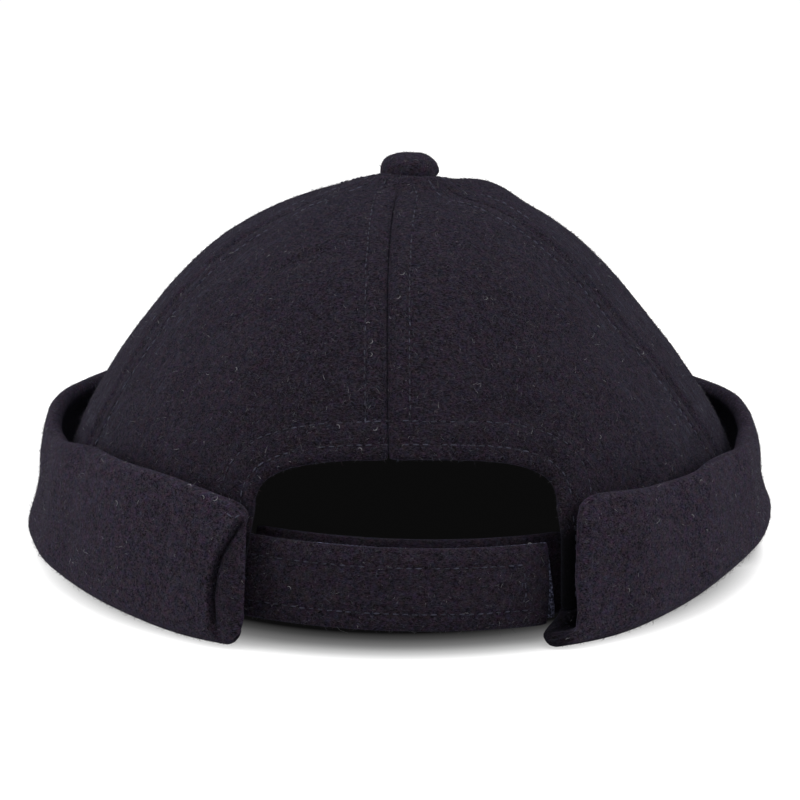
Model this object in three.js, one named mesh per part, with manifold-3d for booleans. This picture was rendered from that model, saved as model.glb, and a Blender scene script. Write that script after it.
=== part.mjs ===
// A docker beanie in dark navy melton wool: a brimless cap with a five-panel crown. Its lower edge carries
// a doubled band that is turned up all round as a cuff. The cuff is left open at the back, below an arched
// opening that a two-part strap with hook and loop tape closes.
//
// Sizes are in millimetres with +Z up, +Y the wearer's front and +X the wearer's right. The tables measure
// from the surface that the cap rests on and from the middle of the crown's lower edge. Every angle runs
// round the crown in degrees, from the middle of the back (-Y) by way of the wearer's right (+X).

import * as THREE from "three";
import { mergeVertices } from "three/addons/utils/BufferGeometryUtils.js";
import Module from "manifold-3d";

// Cloth and the space between pieces.
const CLOTH = 2;
const CUFF_WALL = 3.6;
const STRAP_CLOTH = 2;
const TAPE = 0.6;
const CLEARANCE = 0.3;

// The crown's outside, one row for each level up from the seam that joins it to the cuff. side, back and
// front are its reach from the middle in those directions.
const CROWN_LEVELS = [
  { height: 8, side: 92, back: 98, front: 101 },
  { height: 19, side: 90.2, back: 96.8, front: 100.6 },
  { height: 30.5, side: 85.8, back: 93.8, front: 98.4 },
  { height: 44, side: 77.8, back: 87.6, front: 93.6 },
  { height: 58.7, side: 67.6, back: 77.6, front: 84.8 },
  { height: 74.4, side: 54.8, back: 63.4, front: 70.4 },
  { height: 84.9, side: 43, back: 49.2, front: 54.2 },
  { height: 92.8, side: 30, back: 33.4, front: 36.4 },
  { height: 97.8, side: 17.6, back: 19, front: 20.4 },
  { height: 100.6, side: 7.8, back: 8.2, front: 8.4 },
  { height: 101.6, side: 3, back: 3, front: 3 },
];
const APEX_LEAN = 1.8; // how far the top of the crown stands to the right of the middle
const CROWN_SHIFT = -0.9; // how far its flanks lean the other way

// The seams between the panels. Each runs from its angle at the lower edge to its angle under the button.
const SEAMS = [
  { name: "back", low: -0.7, top: -9 },
  { name: "right", low: 73, top: 58 },
  { name: "front_right", low: 145, top: 133 },
  { name: "front_left", low: 216, top: 207 },
  { name: "left", low: 288.4, top: 279 },
];
const PANELS = [
  { name: "crown_panel_back_right", from: 0, to: 1 },
  { name: "crown_panel_side_right", from: 1, to: 2 },
  { name: "crown_panel_front", from: 2, to: 3 },
  { name: "crown_panel_side_left", from: 3, to: 4 },
  { name: "crown_panel_back_left", from: 4, to: 0 },
];
const PANEL_SWELL = 1.4; // how far the middle of a panel stands out past its seams

// Soft swells and dents of the crown: place round and up the crown, spread of each, and height outwards.
const CROWN_DENTS = [
  { at: 106, up: 0.76, wide: 26, tall: 0.08, out: 2 },
  { at: 254, up: 0.76, wide: 32, tall: 0.1, out: -1.1 },
  { at: 287, up: 0.42, wide: 34, tall: 0.16, out: 1.6 },
  { at: 72, up: 0.47, wide: 24, tall: 0.1, out: -1.4 },
];

// The arched opening at the back: its half width, spring line and top, rounded as a superellipse. Its left
// side runs out by leftFlare on the way down, its right side by rightFlare down to rightFoot.
const ARCH = { middle: 1.5, halfWidth: 37.5, spring: 33, top: 46, power: 2.7 };
const ARCH_SIDES = { leftFlare: 4.5, rightFlare: 1, rightFoot: 26 };

// The cuff, one row for each section round the crown: how far the fold stands off the surface, the height
// of the rim, and how far the middle of the wall at the rim stands outside the crown's lower edge.
const CUFF_SECTIONS = [
  { at: 22.3, lift: 0, rim: 36, rimOut: -1 },
  { at: 34, lift: 0.4, rim: 36.2, rimOut: 0.2 },
  { at: 47, lift: 3, rim: 35, rimOut: 0.8 },
  { at: 60, lift: 6, rim: 35.8, rimOut: 1 },
  { at: 78, lift: 7.2, rim: 34.6, rimOut: 1.4 },
  { at: 100, lift: 6, rim: 36.4, rimOut: 1.6 },
  { at: 124, lift: 2.6, rim: 34.6, rimOut: 2.2 },
  { at: 146, lift: 0, rim: 36, rimOut: 3 },
  { at: 180, lift: 0, rim: 37.4, rimOut: 3.4 },
  { at: 214, lift: 0, rim: 37, rimOut: 3 },
  { at: 238, lift: 1.4, rim: 36.2, rimOut: 2.6 },
  { at: 262, lift: 2.6, rim: 37.2, rimOut: 2.2 },
  { at: 282, lift: 3.2, rim: 35.3, rimOut: 1 },
  { at: 300, lift: 3, rim: 39.6, rimOut: 0.8 },
  { at: 315, lift: 1.6, rim: 39.8, rimOut: 0.6 },
  { at: 326, lift: 0.3, rim: 38, rimOut: 0 },
  { at: 336.4, lift: 0, rim: 34.7, rimOut: -1.4 },
];
// Where the cuff's wall ends on both sides of the back opening, as angles from the middle, by height.
const CUFF_ENDS = [
  { height: 0, left: 24.8, right: 25 },
  { height: 3, left: 23.7, right: 25.9 },
  { height: 8, left: 23, right: 26.5 },
  { height: 17, left: 24.1, right: 26.5 },
  { height: 24, left: 24.5, right: 27.3 },
  { height: 30, left: 24.3, right: 28.1 },
  { height: 36, left: 24, right: 29.7 },
];
const CUFF_INSIDE = -2.1; // the inner face of the cuff's short leg, flush with the inside of the crown
const FOLD_SPACE = 2.6; // between the leg and the wall inside the fold
const CORNER_RADIUS = 3; // of the cuff's upper corners, at the back

// The strap ends, as angles where they are sewn on and where they stop, and heights at both sides.
const STRAP_HEIGHT = 20.4;
const STRAP_MIDDLE = { left: 16.3, right: 13.9 };
const OUTER_STRAP = { from: -34, to: 24.2 };
const INNER_STRAP = { from: -26, to: 36, rise: 1 };
const LOOP_TAPE = { from: -15, to: 26.6 };
const HOOK_TAPE = { from: -14, to: 23.2 };
const TAPE_HEIGHT = 19;

// The button: a cloth-covered dome on a short shank that passes between the points of the panels.
const BUTTON = { radius: 7.7, rise: 5, edge: 1.6, shankRadius: 1.2, shankLength: 4.6, shift: 0.6 };

const WOOL = new THREE.Color(0.022, 0.02, 0.028);
const STRAP_WOOL = new THREE.Color(0.02, 0.018, 0.026);
const TAPE_NAVY = new THREE.Color(0.03, 0.032, 0.07);

const radians = THREE.MathUtils.degToRad;
const turn = (degrees) => ((degrees % 360) + 360) % 360;
const wasm = await Module();
wasm.setup();

// A smooth curve through the crown's levels in one direction. Its parameter runs evenly from row to row.
function levelCurve(direction) {
  const points = CROWN_LEVELS.map((row) => new THREE.Vector3(row[direction], 0, row.height));
  return new THREE.CatmullRomCurve3(points, false, "catmullrom");
}
const LEVEL_CURVES = { side: levelCurve("side"), back: levelCurve("back"), front: levelCurve("front") };

// A column of the cuff's table at any angle, with slopes taken from the neighbouring rows.
function cuffValue(column, degrees) {
  const rows = CUFF_SECTIONS;
  const at = THREE.MathUtils.clamp(turn(degrees), rows[0].at, rows[rows.length - 1].at);
  const next = Math.max(1, rows.findIndex((row) => row.at >= at));
  const slope = (k) => {
    const low = rows[Math.max(0, k - 1)];
    const high = rows[Math.min(rows.length - 1, k + 1)];
    return (high[column] - low[column]) / (high.at - low.at);
  };
  const [a, b] = [rows[next - 1], rows[next]];
  const step = b.at - a.at;
  const s = (at - a.at) / step;
  return (
    a[column] * (1 + 2 * s) * (1 - s) ** 2 +
    slope(next - 1) * step * s * (1 - s) ** 2 +
    b[column] * s * s * (3 - 2 * s) -
    slope(next) * step * s * s * (1 - s)
  );
}
const foldLift = (degrees) => Math.max(0, cuffValue("lift", degrees));

// How far the crown leans to the right, part of the way up.
function crownLean(up) {
  return APEX_LEAN * up ** 3 + CROWN_SHIFT * THREE.MathUtils.smoothstep(up, 0, 0.35) * (1 - up ** 3);
}

// The crown's outside before its panels swell. up runs from 0 at the lower edge to 1 under the button.
function crownForm(degrees, up) {
  const at = radians(degrees);
  const side = LEVEL_CURVES.side.getPoint(up);
  const reach = LEVEL_CURVES[Math.cos(at) > 0 ? "back" : "front"].getPoint(up).x;
  const height = side.z + foldLift(degrees) * (1 - up) ** 2;
  return new THREE.Vector3(side.x * Math.sin(at) + crownLean(up), -reach * Math.cos(at), height);
}

// The direction straight out of the crown.
function crownOutwards(degrees, up) {
  const step = 0.5;
  const rise = 0.004;
  const low = Math.max(0, up - rise);
  const high = Math.min(1, up + rise);
  const across = crownForm(degrees + step, up).sub(crownForm(degrees - step, up));
  const along = crownForm(degrees, high).sub(crownForm(degrees, low));
  return across.cross(along).normalize();
}

// How far the dents and swells of the table move the cloth outwards at a place.
function dentOut(degrees, up) {
  return CROWN_DENTS.reduce((sum, dent) => {
    const round = (turn(degrees - dent.at + 180) - 180) / dent.wide;
    const high = (up - dent.up) / dent.tall;
    return sum + dent.out * Math.exp(-round * round - high * high);
  }, 0);
}

// A point of the crown, depth millimetres in from its outside. across runs from 0 to 1 between two seams.
function crownPoint(degrees, up, across, depth) {
  const swell = PANEL_SWELL * Math.sin(Math.PI * across) * Math.sin(Math.PI * Math.min(1, up + 0.1));
  const outwards = crownOutwards(degrees, up);
  if (up === 0) outwards.setZ(0).normalize(); // keeps the lower edge level
  return crownForm(degrees, up).addScaledVector(outwards, swell + dentOut(degrees, up) - depth);
}

// A closed solid from two faces of (rows + 1) by (columns + 1) points, joined along their edges. Seen from
// outside, columns run to the right and rows run up. face and back give the point of a row and a column.
function sheetSolid(rows, columns, face, back) {
  const points = [];
  for (const side of [face, back]) {
    for (let i = 0; i <= rows; i++) {
      for (let j = 0; j <= columns; j++) points.push(side(i, j));
    }
  }
  const f = (i, j) => i * (columns + 1) + j;
  const b = (i, j) => (rows + 1) * (columns + 1) + f(i, j);
  const quads = [];
  for (let i = 0; i < rows; i++) {
    for (let j = 0; j < columns; j++) {
      quads.push([f(i, j), f(i, j + 1), f(i + 1, j + 1), f(i + 1, j)]);
      quads.push([b(i, j), b(i + 1, j), b(i + 1, j + 1), b(i, j + 1)]);
    }
    quads.push([b(i, 0), f(i, 0), f(i + 1, 0), b(i + 1, 0)]);
    quads.push([f(i, columns), b(i, columns), b(i + 1, columns), f(i + 1, columns)]);
  }
  for (let j = 0; j < columns; j++) {
    quads.push([b(0, j), b(0, j + 1), f(0, j + 1), f(0, j)]);
    quads.push([f(rows, j), f(rows, j + 1), b(rows, j + 1), b(rows, j)]);
  }
  const same = (p, q) => points[p].distanceToSquared(points[q]) < 1e-8;
  const index = [];
  for (const [p, q, r, s] of quads) {
    for (const [x, y, z] of [[p, q, r], [p, r, s]]) {
      if (!same(x, y) && !same(y, z) && !same(z, x)) index.push(x, y, z);
    }
  }
  return new THREE.BufferGeometry().setFromPoints(points).setIndex(index);
}

// Numbers in even steps from a to b.
const evenly = (a, b, i, steps) => a + ((b - a) * i) / steps;

// A geometry as a solid that can be cut, and back.
function toSolid(geometry) {
  const bare = new THREE.BufferGeometry();
  bare.setAttribute("position", geometry.getAttribute("position"));
  if (geometry.index) bare.setIndex(geometry.index);
  const merged = mergeVertices(bare, 1e-4);
  const vertProperties = merged.getAttribute("position").array;
  const triVerts = new Uint32Array(merged.index.array);
  return new wasm.Manifold(new wasm.Mesh({ numProp: 3, vertProperties, triVerts }));
}
function fromSolid(solid) {
  const mesh = solid.getMesh();
  const geometry = new THREE.BufferGeometry();
  geometry.setAttribute("position", new THREE.BufferAttribute(mesh.vertProperties, 3));
  return geometry.setIndex(new THREE.BufferAttribute(mesh.triVerts, 1));
}

// One panel of the crown, between two seams, with its edges half a clearance back from each.
function panelGeometry(panel) {
  const rows = 17;
  const columns = 9;
  const [left, right] = [SEAMS[panel.from], SEAMS[panel.to]];
  const whole = right.low < left.low ? 360 : 0;
  const place = (i, j, depth) => {
    const up = i / rows;
    const from = THREE.MathUtils.lerp(left.low, left.top, up ** 2);
    const to = THREE.MathUtils.lerp(right.low, right.top, up ** 2) + whole;
    const reach = Math.hypot(crownForm(from, up).x - crownLean(up), crownForm(from, up).y);
    const inset = THREE.MathUtils.radToDeg(CLEARANCE / 2 / reach);
    const across = j / columns;
    return crownPoint(evenly(from + inset, to - inset, j, columns), up, across, depth);
  };
  return sheetSolid(rows, columns, (i, j) => place(i, j, 0), (i, j) => place(i, j, CLOTH));
}

// The prism that cuts the arched opening out of the back of the crown.
function archCutter() {
  const steps = 20;
  const below = -10;
  const outline = new THREE.Shape();
  outline.moveTo(ARCH.halfWidth + ARCH_SIDES.rightFlare, below);
  outline.lineTo(ARCH.halfWidth + ARCH_SIDES.rightFlare, ARCH_SIDES.rightFoot);
  for (let k = 0; k <= steps; k++) {
    const a = (Math.PI * k) / steps;
    const round = (value) => Math.sign(value) * Math.abs(value) ** (2 / ARCH.power);
    const high = (ARCH.top - ARCH.spring) * round(Math.sin(a));
    outline.lineTo(ARCH.halfWidth * round(Math.cos(a)), ARCH.spring + high);
  }
  const foot = CROWN_LEVELS[0].height;
  outline.lineTo(-ARCH.halfWidth - ARCH_SIDES.leftFlare, foot);
  outline.lineTo(-ARCH.halfWidth - ARCH_SIDES.leftFlare, below);
  outline.closePath();
  const deep = CROWN_LEVELS[0].back;
  const prism = new THREE.ExtrudeGeometry(outline, { depth: deep, bevelEnabled: false });
  prism.rotateX(Math.PI / 2);
  prism.translate(ARCH.middle, -deep / 3, 0);
  return toSolid(prism);
}

// A point outside the crown's lower edge by out, measured square to that edge's oval, at a height.
function besideCrown(degrees, out, height) {
  const at = radians(degrees);
  const { side, back, front } = CROWN_LEVELS[0];
  const reach = Math.cos(at) > 0 ? back : front;
  const square = new THREE.Vector2(Math.sin(at) / side, -Math.cos(at) / reach).normalize();
  return new THREE.Vector3(
    side * Math.sin(at) + square.x * out,
    -reach * Math.cos(at) + square.y * out,
    height,
  );
}

// The cuff's section as stations from the top of the short inner leg, round the fold and up the wall. Each
// has a point on the outside of the doubled cloth and one on the inside, as distance outwards and height.
function cuffStations(degrees) {
  const half = CUFF_WALL / 2;
  const bend = half + FOLD_SPACE / 2;
  const foldSteps = 5;
  const wallSteps = 6;
  const rimSteps = 2;
  const legMiddle = CUFF_INSIDE + half;
  const lift = foldLift(degrees);
  const foldHeight = (bend + half) * Math.cos(Math.PI / 2 / foldSteps) + lift;
  const rimCentre = new THREE.Vector2(cuffValue("rimOut", degrees), cuffValue("rim", degrees) - half);
  const middle = [new THREE.Vector2(legMiddle, CROWN_LEVELS[0].height - CLEARANCE + lift)];
  const outwards = [new THREE.Vector2(-1, 0)];
  for (let k = 0; k <= foldSteps; k++) {
    const a = Math.PI * (1 + k / foldSteps);
    const away = new THREE.Vector2(Math.cos(a), Math.sin(a));
    middle.push(away.clone().multiplyScalar(bend).add(new THREE.Vector2(legMiddle + bend, foldHeight)));
    outwards.push(away);
  }
  const wallFoot = middle[middle.length - 1].clone();
  const wallRise = rimCentre.clone().sub(wallFoot);
  const wallOut = new THREE.Vector2(wallRise.y, -wallRise.x).normalize();
  for (let k = 1; k <= wallSteps; k++) {
    const s = k / wallSteps;
    const bulge = Math.sin(Math.PI * s);
    middle.push(wallFoot.clone().addScaledVector(wallRise, s).addScaledVector(wallOut, bulge));
    outwards.push(wallOut);
  }
  const stations = middle.map((point, k) => ({
    outside: point.clone().addScaledVector(outwards[k], half),
    inside: point.clone().addScaledVector(outwards[k], -half),
  }));
  const upwards = wallRise.normalize();
  for (let k = 1; k <= rimSteps; k++) {
    const a = (Math.PI / 2) * (k / rimSteps);
    const high = rimCentre.clone().addScaledVector(upwards, half * Math.sin(a));
    stations.push({
      outside: high.clone().addScaledVector(wallOut, half * Math.cos(a)),
      inside: high.clone().addScaledVector(wallOut, -half * Math.cos(a)),
    });
  }
  return stations;
}

// The angle at which the cuff's wall ends on one side of the opening, at a height below the rim.
function wallEnd(side, height, rim) {
  const next = CUFF_ENDS.findIndex((row) => row.height >= height);
  const b = CUFF_ENDS[next < 0 ? CUFF_ENDS.length - 1 : Math.max(1, next)];
  const a = CUFF_ENDS[CUFF_ENDS.indexOf(b) - 1];
  const share = THREE.MathUtils.clamp((height - a.height) / (b.height - a.height), 0, 1);
  const near = THREE.MathUtils.clamp(1 - (rim - height) / CORNER_RADIUS, 0, 1);
  const corner = CORNER_RADIUS * (1 - Math.sqrt(1 - near * near));
  const cornerAngle = THREE.MathUtils.radToDeg(corner / CROWN_LEVELS[0].back);
  return THREE.MathUtils.lerp(a[side], b[side], share) + cornerAngle;
}

// The turned-up cuff, a doubled band from one side of the back opening round the front to the other.
function cuffGeometry() {
  const columns = 56;
  const first = CUFF_SECTIONS[0].at;
  const last = CUFF_SECTIONS[CUFF_SECTIONS.length - 1].at;
  const foldMiddle = 3.5;
  const foldEnd = 7;
  const rimRows = cuffStations(first).length - 1;
  const place = (i, j, side) => {
    const { y: height } = cuffStations(evenly(first, last, j, columns))[i][side];
    const rim = cuffValue("rim", evenly(first, last, j, columns));
    const onWall = THREE.MathUtils.smoothstep(i, foldMiddle, foldEnd);
    const from = THREE.MathUtils.lerp(first, wallEnd("right", height, rim), onWall);
    const to = THREE.MathUtils.lerp(last, 360 - wallEnd("left", height, rim), onWall);
    const degrees = evenly(from, to, j, columns);
    const point = cuffStations(degrees)[i][side];
    return besideCrown(degrees, point.x, point.y);
  };
  return sheetSolid(rimRows, columns, (i, j) => place(i, j, "outside"), (i, j) => place(i, j, "inside"));
}

// The height of the strap's middle line, which drops a little from the left side of the arch to the right.
function strapMiddle(degrees) {
  const { from, to } = OUTER_STRAP;
  const share = THREE.MathUtils.clamp((degrees - from) / (to - from), 0, 1);
  return THREE.MathUtils.lerp(STRAP_MIDDLE.left, STRAP_MIDDLE.right, share);
}

// How far in from its lower edge the crown's wall leans at a height. The strap follows it.
const wallLean = (height) => 0.0078 * Math.max(0, height - 6) ** 2;

// A band inside the crown's lower edge. depth gives how far in its outer face lies at each angle.
function bandGeometry({ from, to, rise = 0 }, height, thickness, depth) {
  const rows = 3;
  const columns = 16;
  const place = (i, j, further) => {
    const degrees = evenly(from, to, j, columns);
    const high = strapMiddle(degrees) + rise + evenly(-height / 2, height / 2, i, rows);
    return besideCrown(degrees, -depth(degrees) - wallLean(high) - further, high);
  };
  return sheetSolid(rows, columns, (i, j) => place(i, j, 0), (i, j) => place(i, j, thickness));
}

// How deep each layer of the closure lies inside the crown's lower edge.
const OUTER_STRAP_DEPTH = -CUFF_INSIDE + CLEARANCE;
const HOOK_DEPTH = OUTER_STRAP_DEPTH + STRAP_CLOTH + CLEARANCE;
const LOOP_DEPTH = HOOK_DEPTH + TAPE + CLEARANCE;
const INNER_STRAP_DEPTH = LOOP_DEPTH + TAPE + CLEARANCE;

// Past the end of the outer strap, the inner one swings out to the panel that it is sewn to.
function innerStrapDepth(degrees) {
  const swing = THREE.MathUtils.smoothstep(degrees, LOOP_TAPE.to + 0.4, INNER_STRAP.to - 3);
  return THREE.MathUtils.lerp(INNER_STRAP_DEPTH, OUTER_STRAP_DEPTH, swing);
}

// The button's outline, from the foot of its shank out under the dome, round its edge and up to the middle.
function buttonGeometry() {
  const { radius, rise, edge, shankRadius, shankLength } = BUTTON;
  const slope = 0.08; // the underside follows the fall of the crown
  const outline = [
    new THREE.Vector2(0, -shankLength),
    new THREE.Vector2(shankRadius, -shankLength),
    new THREE.Vector2(shankRadius, -slope * shankRadius),
    new THREE.Vector2(radius - edge, -slope * (radius - edge)),
  ];
  const edgeHeight = -slope * radius + edge;
  for (let k = -1; k <= 6; k++) {
    const a = (Math.PI / 2) * (k / 6);
    const high = k < 0 ? edge : rise - edgeHeight;
    const reach = Math.max(0, radius * Math.cos(a) ** 0.8);
    outline.push(new THREE.Vector2(reach, edgeHeight + high * Math.sin(a)));
  }
  outline[outline.length - 1].x = 0;
  return new THREE.LatheGeometry(outline, 20).rotateX(Math.PI / 2);
}

// A named piece in its own finish.
function piece(name, geometry, color, roughness = 0.95) {
  const mesh = new THREE.Mesh(geometry, new THREE.MeshStandardMaterial({ color, roughness, metalness: 0 }));
  mesh.name = name;
  return mesh;
}

const beanie = new THREE.Group();
const arch = archCutter();
for (const panel of PANELS) {
  const solid = toSolid(panelGeometry(panel));
  const atBack = panel.from === 0 || panel.to === 0;
  beanie.add(piece(panel.name, fromSolid(atBack ? solid.subtract(arch) : solid), WOOL));
}
beanie.add(piece("cuff", cuffGeometry(), WOOL));

const strapOuter = bandGeometry(OUTER_STRAP, STRAP_HEIGHT, STRAP_CLOTH, () => OUTER_STRAP_DEPTH);
const strapInner = bandGeometry(INNER_STRAP, STRAP_HEIGHT, STRAP_CLOTH, innerStrapDepth);
beanie.add(piece("strap_outer", strapOuter, STRAP_WOOL));
beanie.add(piece("strap_inner", strapInner, STRAP_WOOL));

const hookTape = bandGeometry(HOOK_TAPE, TAPE_HEIGHT, TAPE, () => HOOK_DEPTH);
const loopTape = bandGeometry(LOOP_TAPE, TAPE_HEIGHT, TAPE, () => LOOP_DEPTH);
beanie.add(piece("hook_tape", hookTape, TAPE_NAVY, 0.7));
beanie.add(piece("loop_tape", loopTape, TAPE_NAVY, 0.9));

const button = piece("top_button", buttonGeometry(), WOOL);
const crownTop = CROWN_LEVELS[CROWN_LEVELS.length - 1].height;
button.position.set(APEX_LEAN + BUTTON.shift, 0, crownTop + CLEARANCE);
beanie.add(button);

// The finished cap stands with its outline centred on the origin.
const middle = new THREE.Box3().setFromObject(beanie).getCenter(new THREE.Vector3());
for (const mesh of beanie.children) mesh.position.sub(middle.setZ(0));

export default beanie;
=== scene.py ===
import math

import bmesh
import bpy
import numpy as np
from mathutils import Matrix, Vector, noise
from mathutils.bvhtree import BVHTree


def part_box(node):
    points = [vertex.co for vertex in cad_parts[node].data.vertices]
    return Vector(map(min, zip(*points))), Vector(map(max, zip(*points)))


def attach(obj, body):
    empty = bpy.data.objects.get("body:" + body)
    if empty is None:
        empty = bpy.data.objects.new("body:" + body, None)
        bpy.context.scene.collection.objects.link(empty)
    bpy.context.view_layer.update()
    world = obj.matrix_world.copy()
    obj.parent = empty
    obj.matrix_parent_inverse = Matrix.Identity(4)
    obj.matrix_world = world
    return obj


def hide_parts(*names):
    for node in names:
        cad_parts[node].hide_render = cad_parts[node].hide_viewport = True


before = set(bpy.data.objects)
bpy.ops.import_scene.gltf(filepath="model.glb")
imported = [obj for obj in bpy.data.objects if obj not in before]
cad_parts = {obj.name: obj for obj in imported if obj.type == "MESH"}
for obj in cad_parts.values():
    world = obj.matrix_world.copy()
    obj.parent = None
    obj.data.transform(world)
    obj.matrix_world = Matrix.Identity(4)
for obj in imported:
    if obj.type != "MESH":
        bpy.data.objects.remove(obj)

bl_info = {
    "name": "Docker beanie",
    "version": (1, 0, 0),
    "blender": (4, 5, 0),
    "location": "3D View > Sidebar > Beanie",
    "description": "Dresses the packed docker beanie in fulled wool, stitches and nap",
    "category": "Object",
}

# Lengths are in millimetres until a mesh is made. Angles are in degrees from the middle of the back, by way of
# the wearer's right. The tables are the ones of the part's source.
MM = 0.001

LEVELS = {
    "height": (8, 19, 30.5, 44, 58.7, 74.4, 84.9, 92.8, 97.8, 100.6, 101.6),
    "side": (92, 90.2, 85.8, 77.8, 67.6, 54.8, 43, 30, 17.6, 7.8, 3),
    "back": (98, 96.8, 93.8, 87.6, 77.6, 63.4, 49.2, 33.4, 19, 8.2, 3),
    "front": (101, 100.6, 98.4, 93.6, 84.8, 70.4, 54.2, 36.4, 20.4, 8.4, 3),
}
APEX_LEAN = 1.8
CROWN_SHIFT = -0.9
SEAMS = {
    "back": (-0.7, -9),
    "right": (73, 58),
    "front_right": (145, 133),
    "front_left": (216, 207),
    "left": (288.4, 279),
    "back_again": (359.3, 351),
}
# Name of the panel, seams on its two sides, and spacing of its faces along and up.
PANELS = (
    ("crown_panel_back_right", "back", "right", 0.95, 0.9),
    ("crown_panel_side_right", "right", "front_right", 1.7, 1.5),
    ("crown_panel_front", "front_right", "front_left", 1.9, 1.7),
    ("crown_panel_side_left", "front_left", "left", 1.7, 1.5),
    ("crown_panel_back_left", "left", "back_again", 0.95, 0.9),
)
PANEL_SWELL = 1.4
# Place round and up the crown, spread of each, and height outwards.
CROWN_DENTS = (
    (106, 0.76, 26, 0.08, 2),
    (254, 0.76, 32, 0.1, -1.1),
    (287, 0.42, 34, 0.16, 1.6),
    (72, 0.47, 24, 0.1, -1.4),
)
ARCH_MIDDLE, ARCH_HALF, ARCH_SPRING, ARCH_TOP, ARCH_POWER = 1.5, 37.5, 33, 46, 2.7
ARCH_LEFT_FLARE, ARCH_LEFT_HIGH, ARCH_RIGHT_FLARE, ARCH_RIGHT_FOOT = 4.5, 25, 1, 26

# Angle, lift of the fold, height of the rim and how far the rim's middle stands out.
CUFF_SECTIONS = np.array((
    (22.3, 0, 36, -1),
    (34, 0.4, 36.2, 0.2),
    (47, 3, 35, 0.8),
    (60, 6, 35.8, 1),
    (78, 7.2, 34.6, 1.4),
    (100, 6, 36.4, 1.6),
    (124, 2.6, 34.6, 2.2),
    (146, 0, 36, 3),
    (180, 0, 37.4, 3.4),
    (214, 0, 37, 3),
    (238, 1.4, 36.2, 2.6),
    (262, 2.6, 37.2, 2.2),
    (282, 3.2, 35.3, 1),
    (300, 3, 39.6, 0.8),
    (315, 1.6, 39.8, 0.6),
    (326, 0.3, 38, 0),
    (336.4, 0, 34.7, -1.4),
))
CUFF_SLOPES = np.gradient(CUFF_SECTIONS, axis=0)
# Height, and the angles at which the wall ends on the left and right of the opening.
CUFF_ENDS = np.array((
    (0, 24.8, 25), (3, 23.7, 25.9), (8, 23, 26.5), (17, 24.1, 26.5), (24, 24.5, 27.3), (30, 24.3, 28.1),
    (36, 24, 29.7),
))
# Height and angle of the line on the left where the outer layer of the cuff ends on the turned-in one.
CUFF_LAYER_EDGE = np.array((
    (-2, 26), (0.5, 26.3), (3, 26.9), (7, 27.9), (12, 28.3), (17, 28.1), (22.5, 27.5), (27.5, 26), (33, 24.6),
    (35, 24.2),
))
# Soft folds and handling of the cuff: angle, width in degrees, and height outwards.
CUFF_FOLDS = (
    (31, 3.2, -0.5), (38, 3.5, 0.5), (46, 3, -0.6), (54, 4, 0.6), (63, 3.5, -0.6), (71, 3, 0.5), (80, 4, -0.4),
    (331, 3.5, 0.4), (322, 3.2, -0.5), (312, 4, 0.5), (301, 3, -0.6), (292, 3.6, 0.5), (283, 3.4, -0.4),
)
CUFF_INSIDE, CUFF_WALL, CUFF_CORNER, FOLD_SPACE = -2.1, 3.6, 4, 2.6
# The gap that stands in for a seam.
CLEARANCE = 0.3

STRAP_HEIGHT, STRAP_CLOTH = 20.4, 2
TAPE_HEIGHT, TAPE_CLOTH = 19, 0.6
# Height of the outer strap's middle line at its left and its right end.
STRAP_MIDDLE = (16.3, 13.9)
# Angles of the two ends of each band.
OUTER_STRAP, INNER_STRAP = (-34, 24.2), (-26, 36)
HOOK_TAPE, LOOP_TAPE = (-14, 23.2), (-15, 26.6)
# How far each band's face lies inside the crown's lower edge.
STRAP_DEPTH, HOOK_DEPTH, LOOP_DEPTH, INNER_DEPTH = 2.4, 4.7, 5.6, 6.5

# Distance of the topstitching from a seam, and of its two rows from the arch.
SEAM_STITCHES = 5.8
ARCH_STITCHES = (3.2, 8.2)

# The button sits a little to the right of the crown's middle.
BUTTON_SHIFT = 0.6
BUTTON_RADIUS, BUTTON_BASE, BUTTON_RISE, BUTTON_SEAT = 7.65, 0.6, 4.95, 4.35
BUTTON_AT = sum(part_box("top_button"), Vector()) / 2 / MM
SHIFT = np.array((BUTTON_AT.x - APEX_LEAN - BUTTON_SHIFT, BUTTON_AT.y, 0))

# Degrees to a millimetre along the cuff and along the strap.
CUFF_PER_MM = 1 / (math.radians(1) * LEVELS["back"][0])
STRAP_PER_MM = 1 / (math.radians(1) * 93)


def smooth(low, high, x):
    """0 below low, 1 above high and an even slope between them."""
    t = np.clip((x - low) / (high - low), 0, 1)
    return t * t * (3 - 2 * t)


def bell(x, width):
    """1 at 0, fading out over width."""
    return np.exp(-((x / width) ** 2))


def turned_from(degrees, at):
    """The shorter way round from one angle to others, from -180 to 180."""
    return np.mod(degrees - at + 180, 360) - 180


def roughly(points, size, seed=0):
    """Soft noise at each point, from about -1 to 1, with swells of about the given size."""
    flat = np.asarray(points, float).reshape(-1, 3) / size + seed * 17.3
    values = np.array([noise.noise(Vector(p)) for p in flat])
    return values.reshape(np.shape(points)[:-1])


def level(column, up):
    """The crown's reach or height at any part of the way up, 0 at its lower edge and 1 under the button."""
    row = np.array(LEVELS[column], float)
    row = np.concatenate(((2 * row[0] - row[1],), row, (2 * row[-1] - row[-2],)))
    at = np.clip(up, 0, 1) * (len(row) - 3)
    k = np.minimum(at.astype(int), len(row) - 4)
    t = at - k
    a, b = row[k + 1], row[k + 2]
    leaving, arriving = (b - row[k]) / 2, (row[k + 3] - a) / 2
    return (
        a
        + leaving * t
        + (3 * (b - a) - 2 * leaving - arriving) * t**2
        + (2 * (a - b) + leaving + arriving) * t**3
    )


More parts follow.
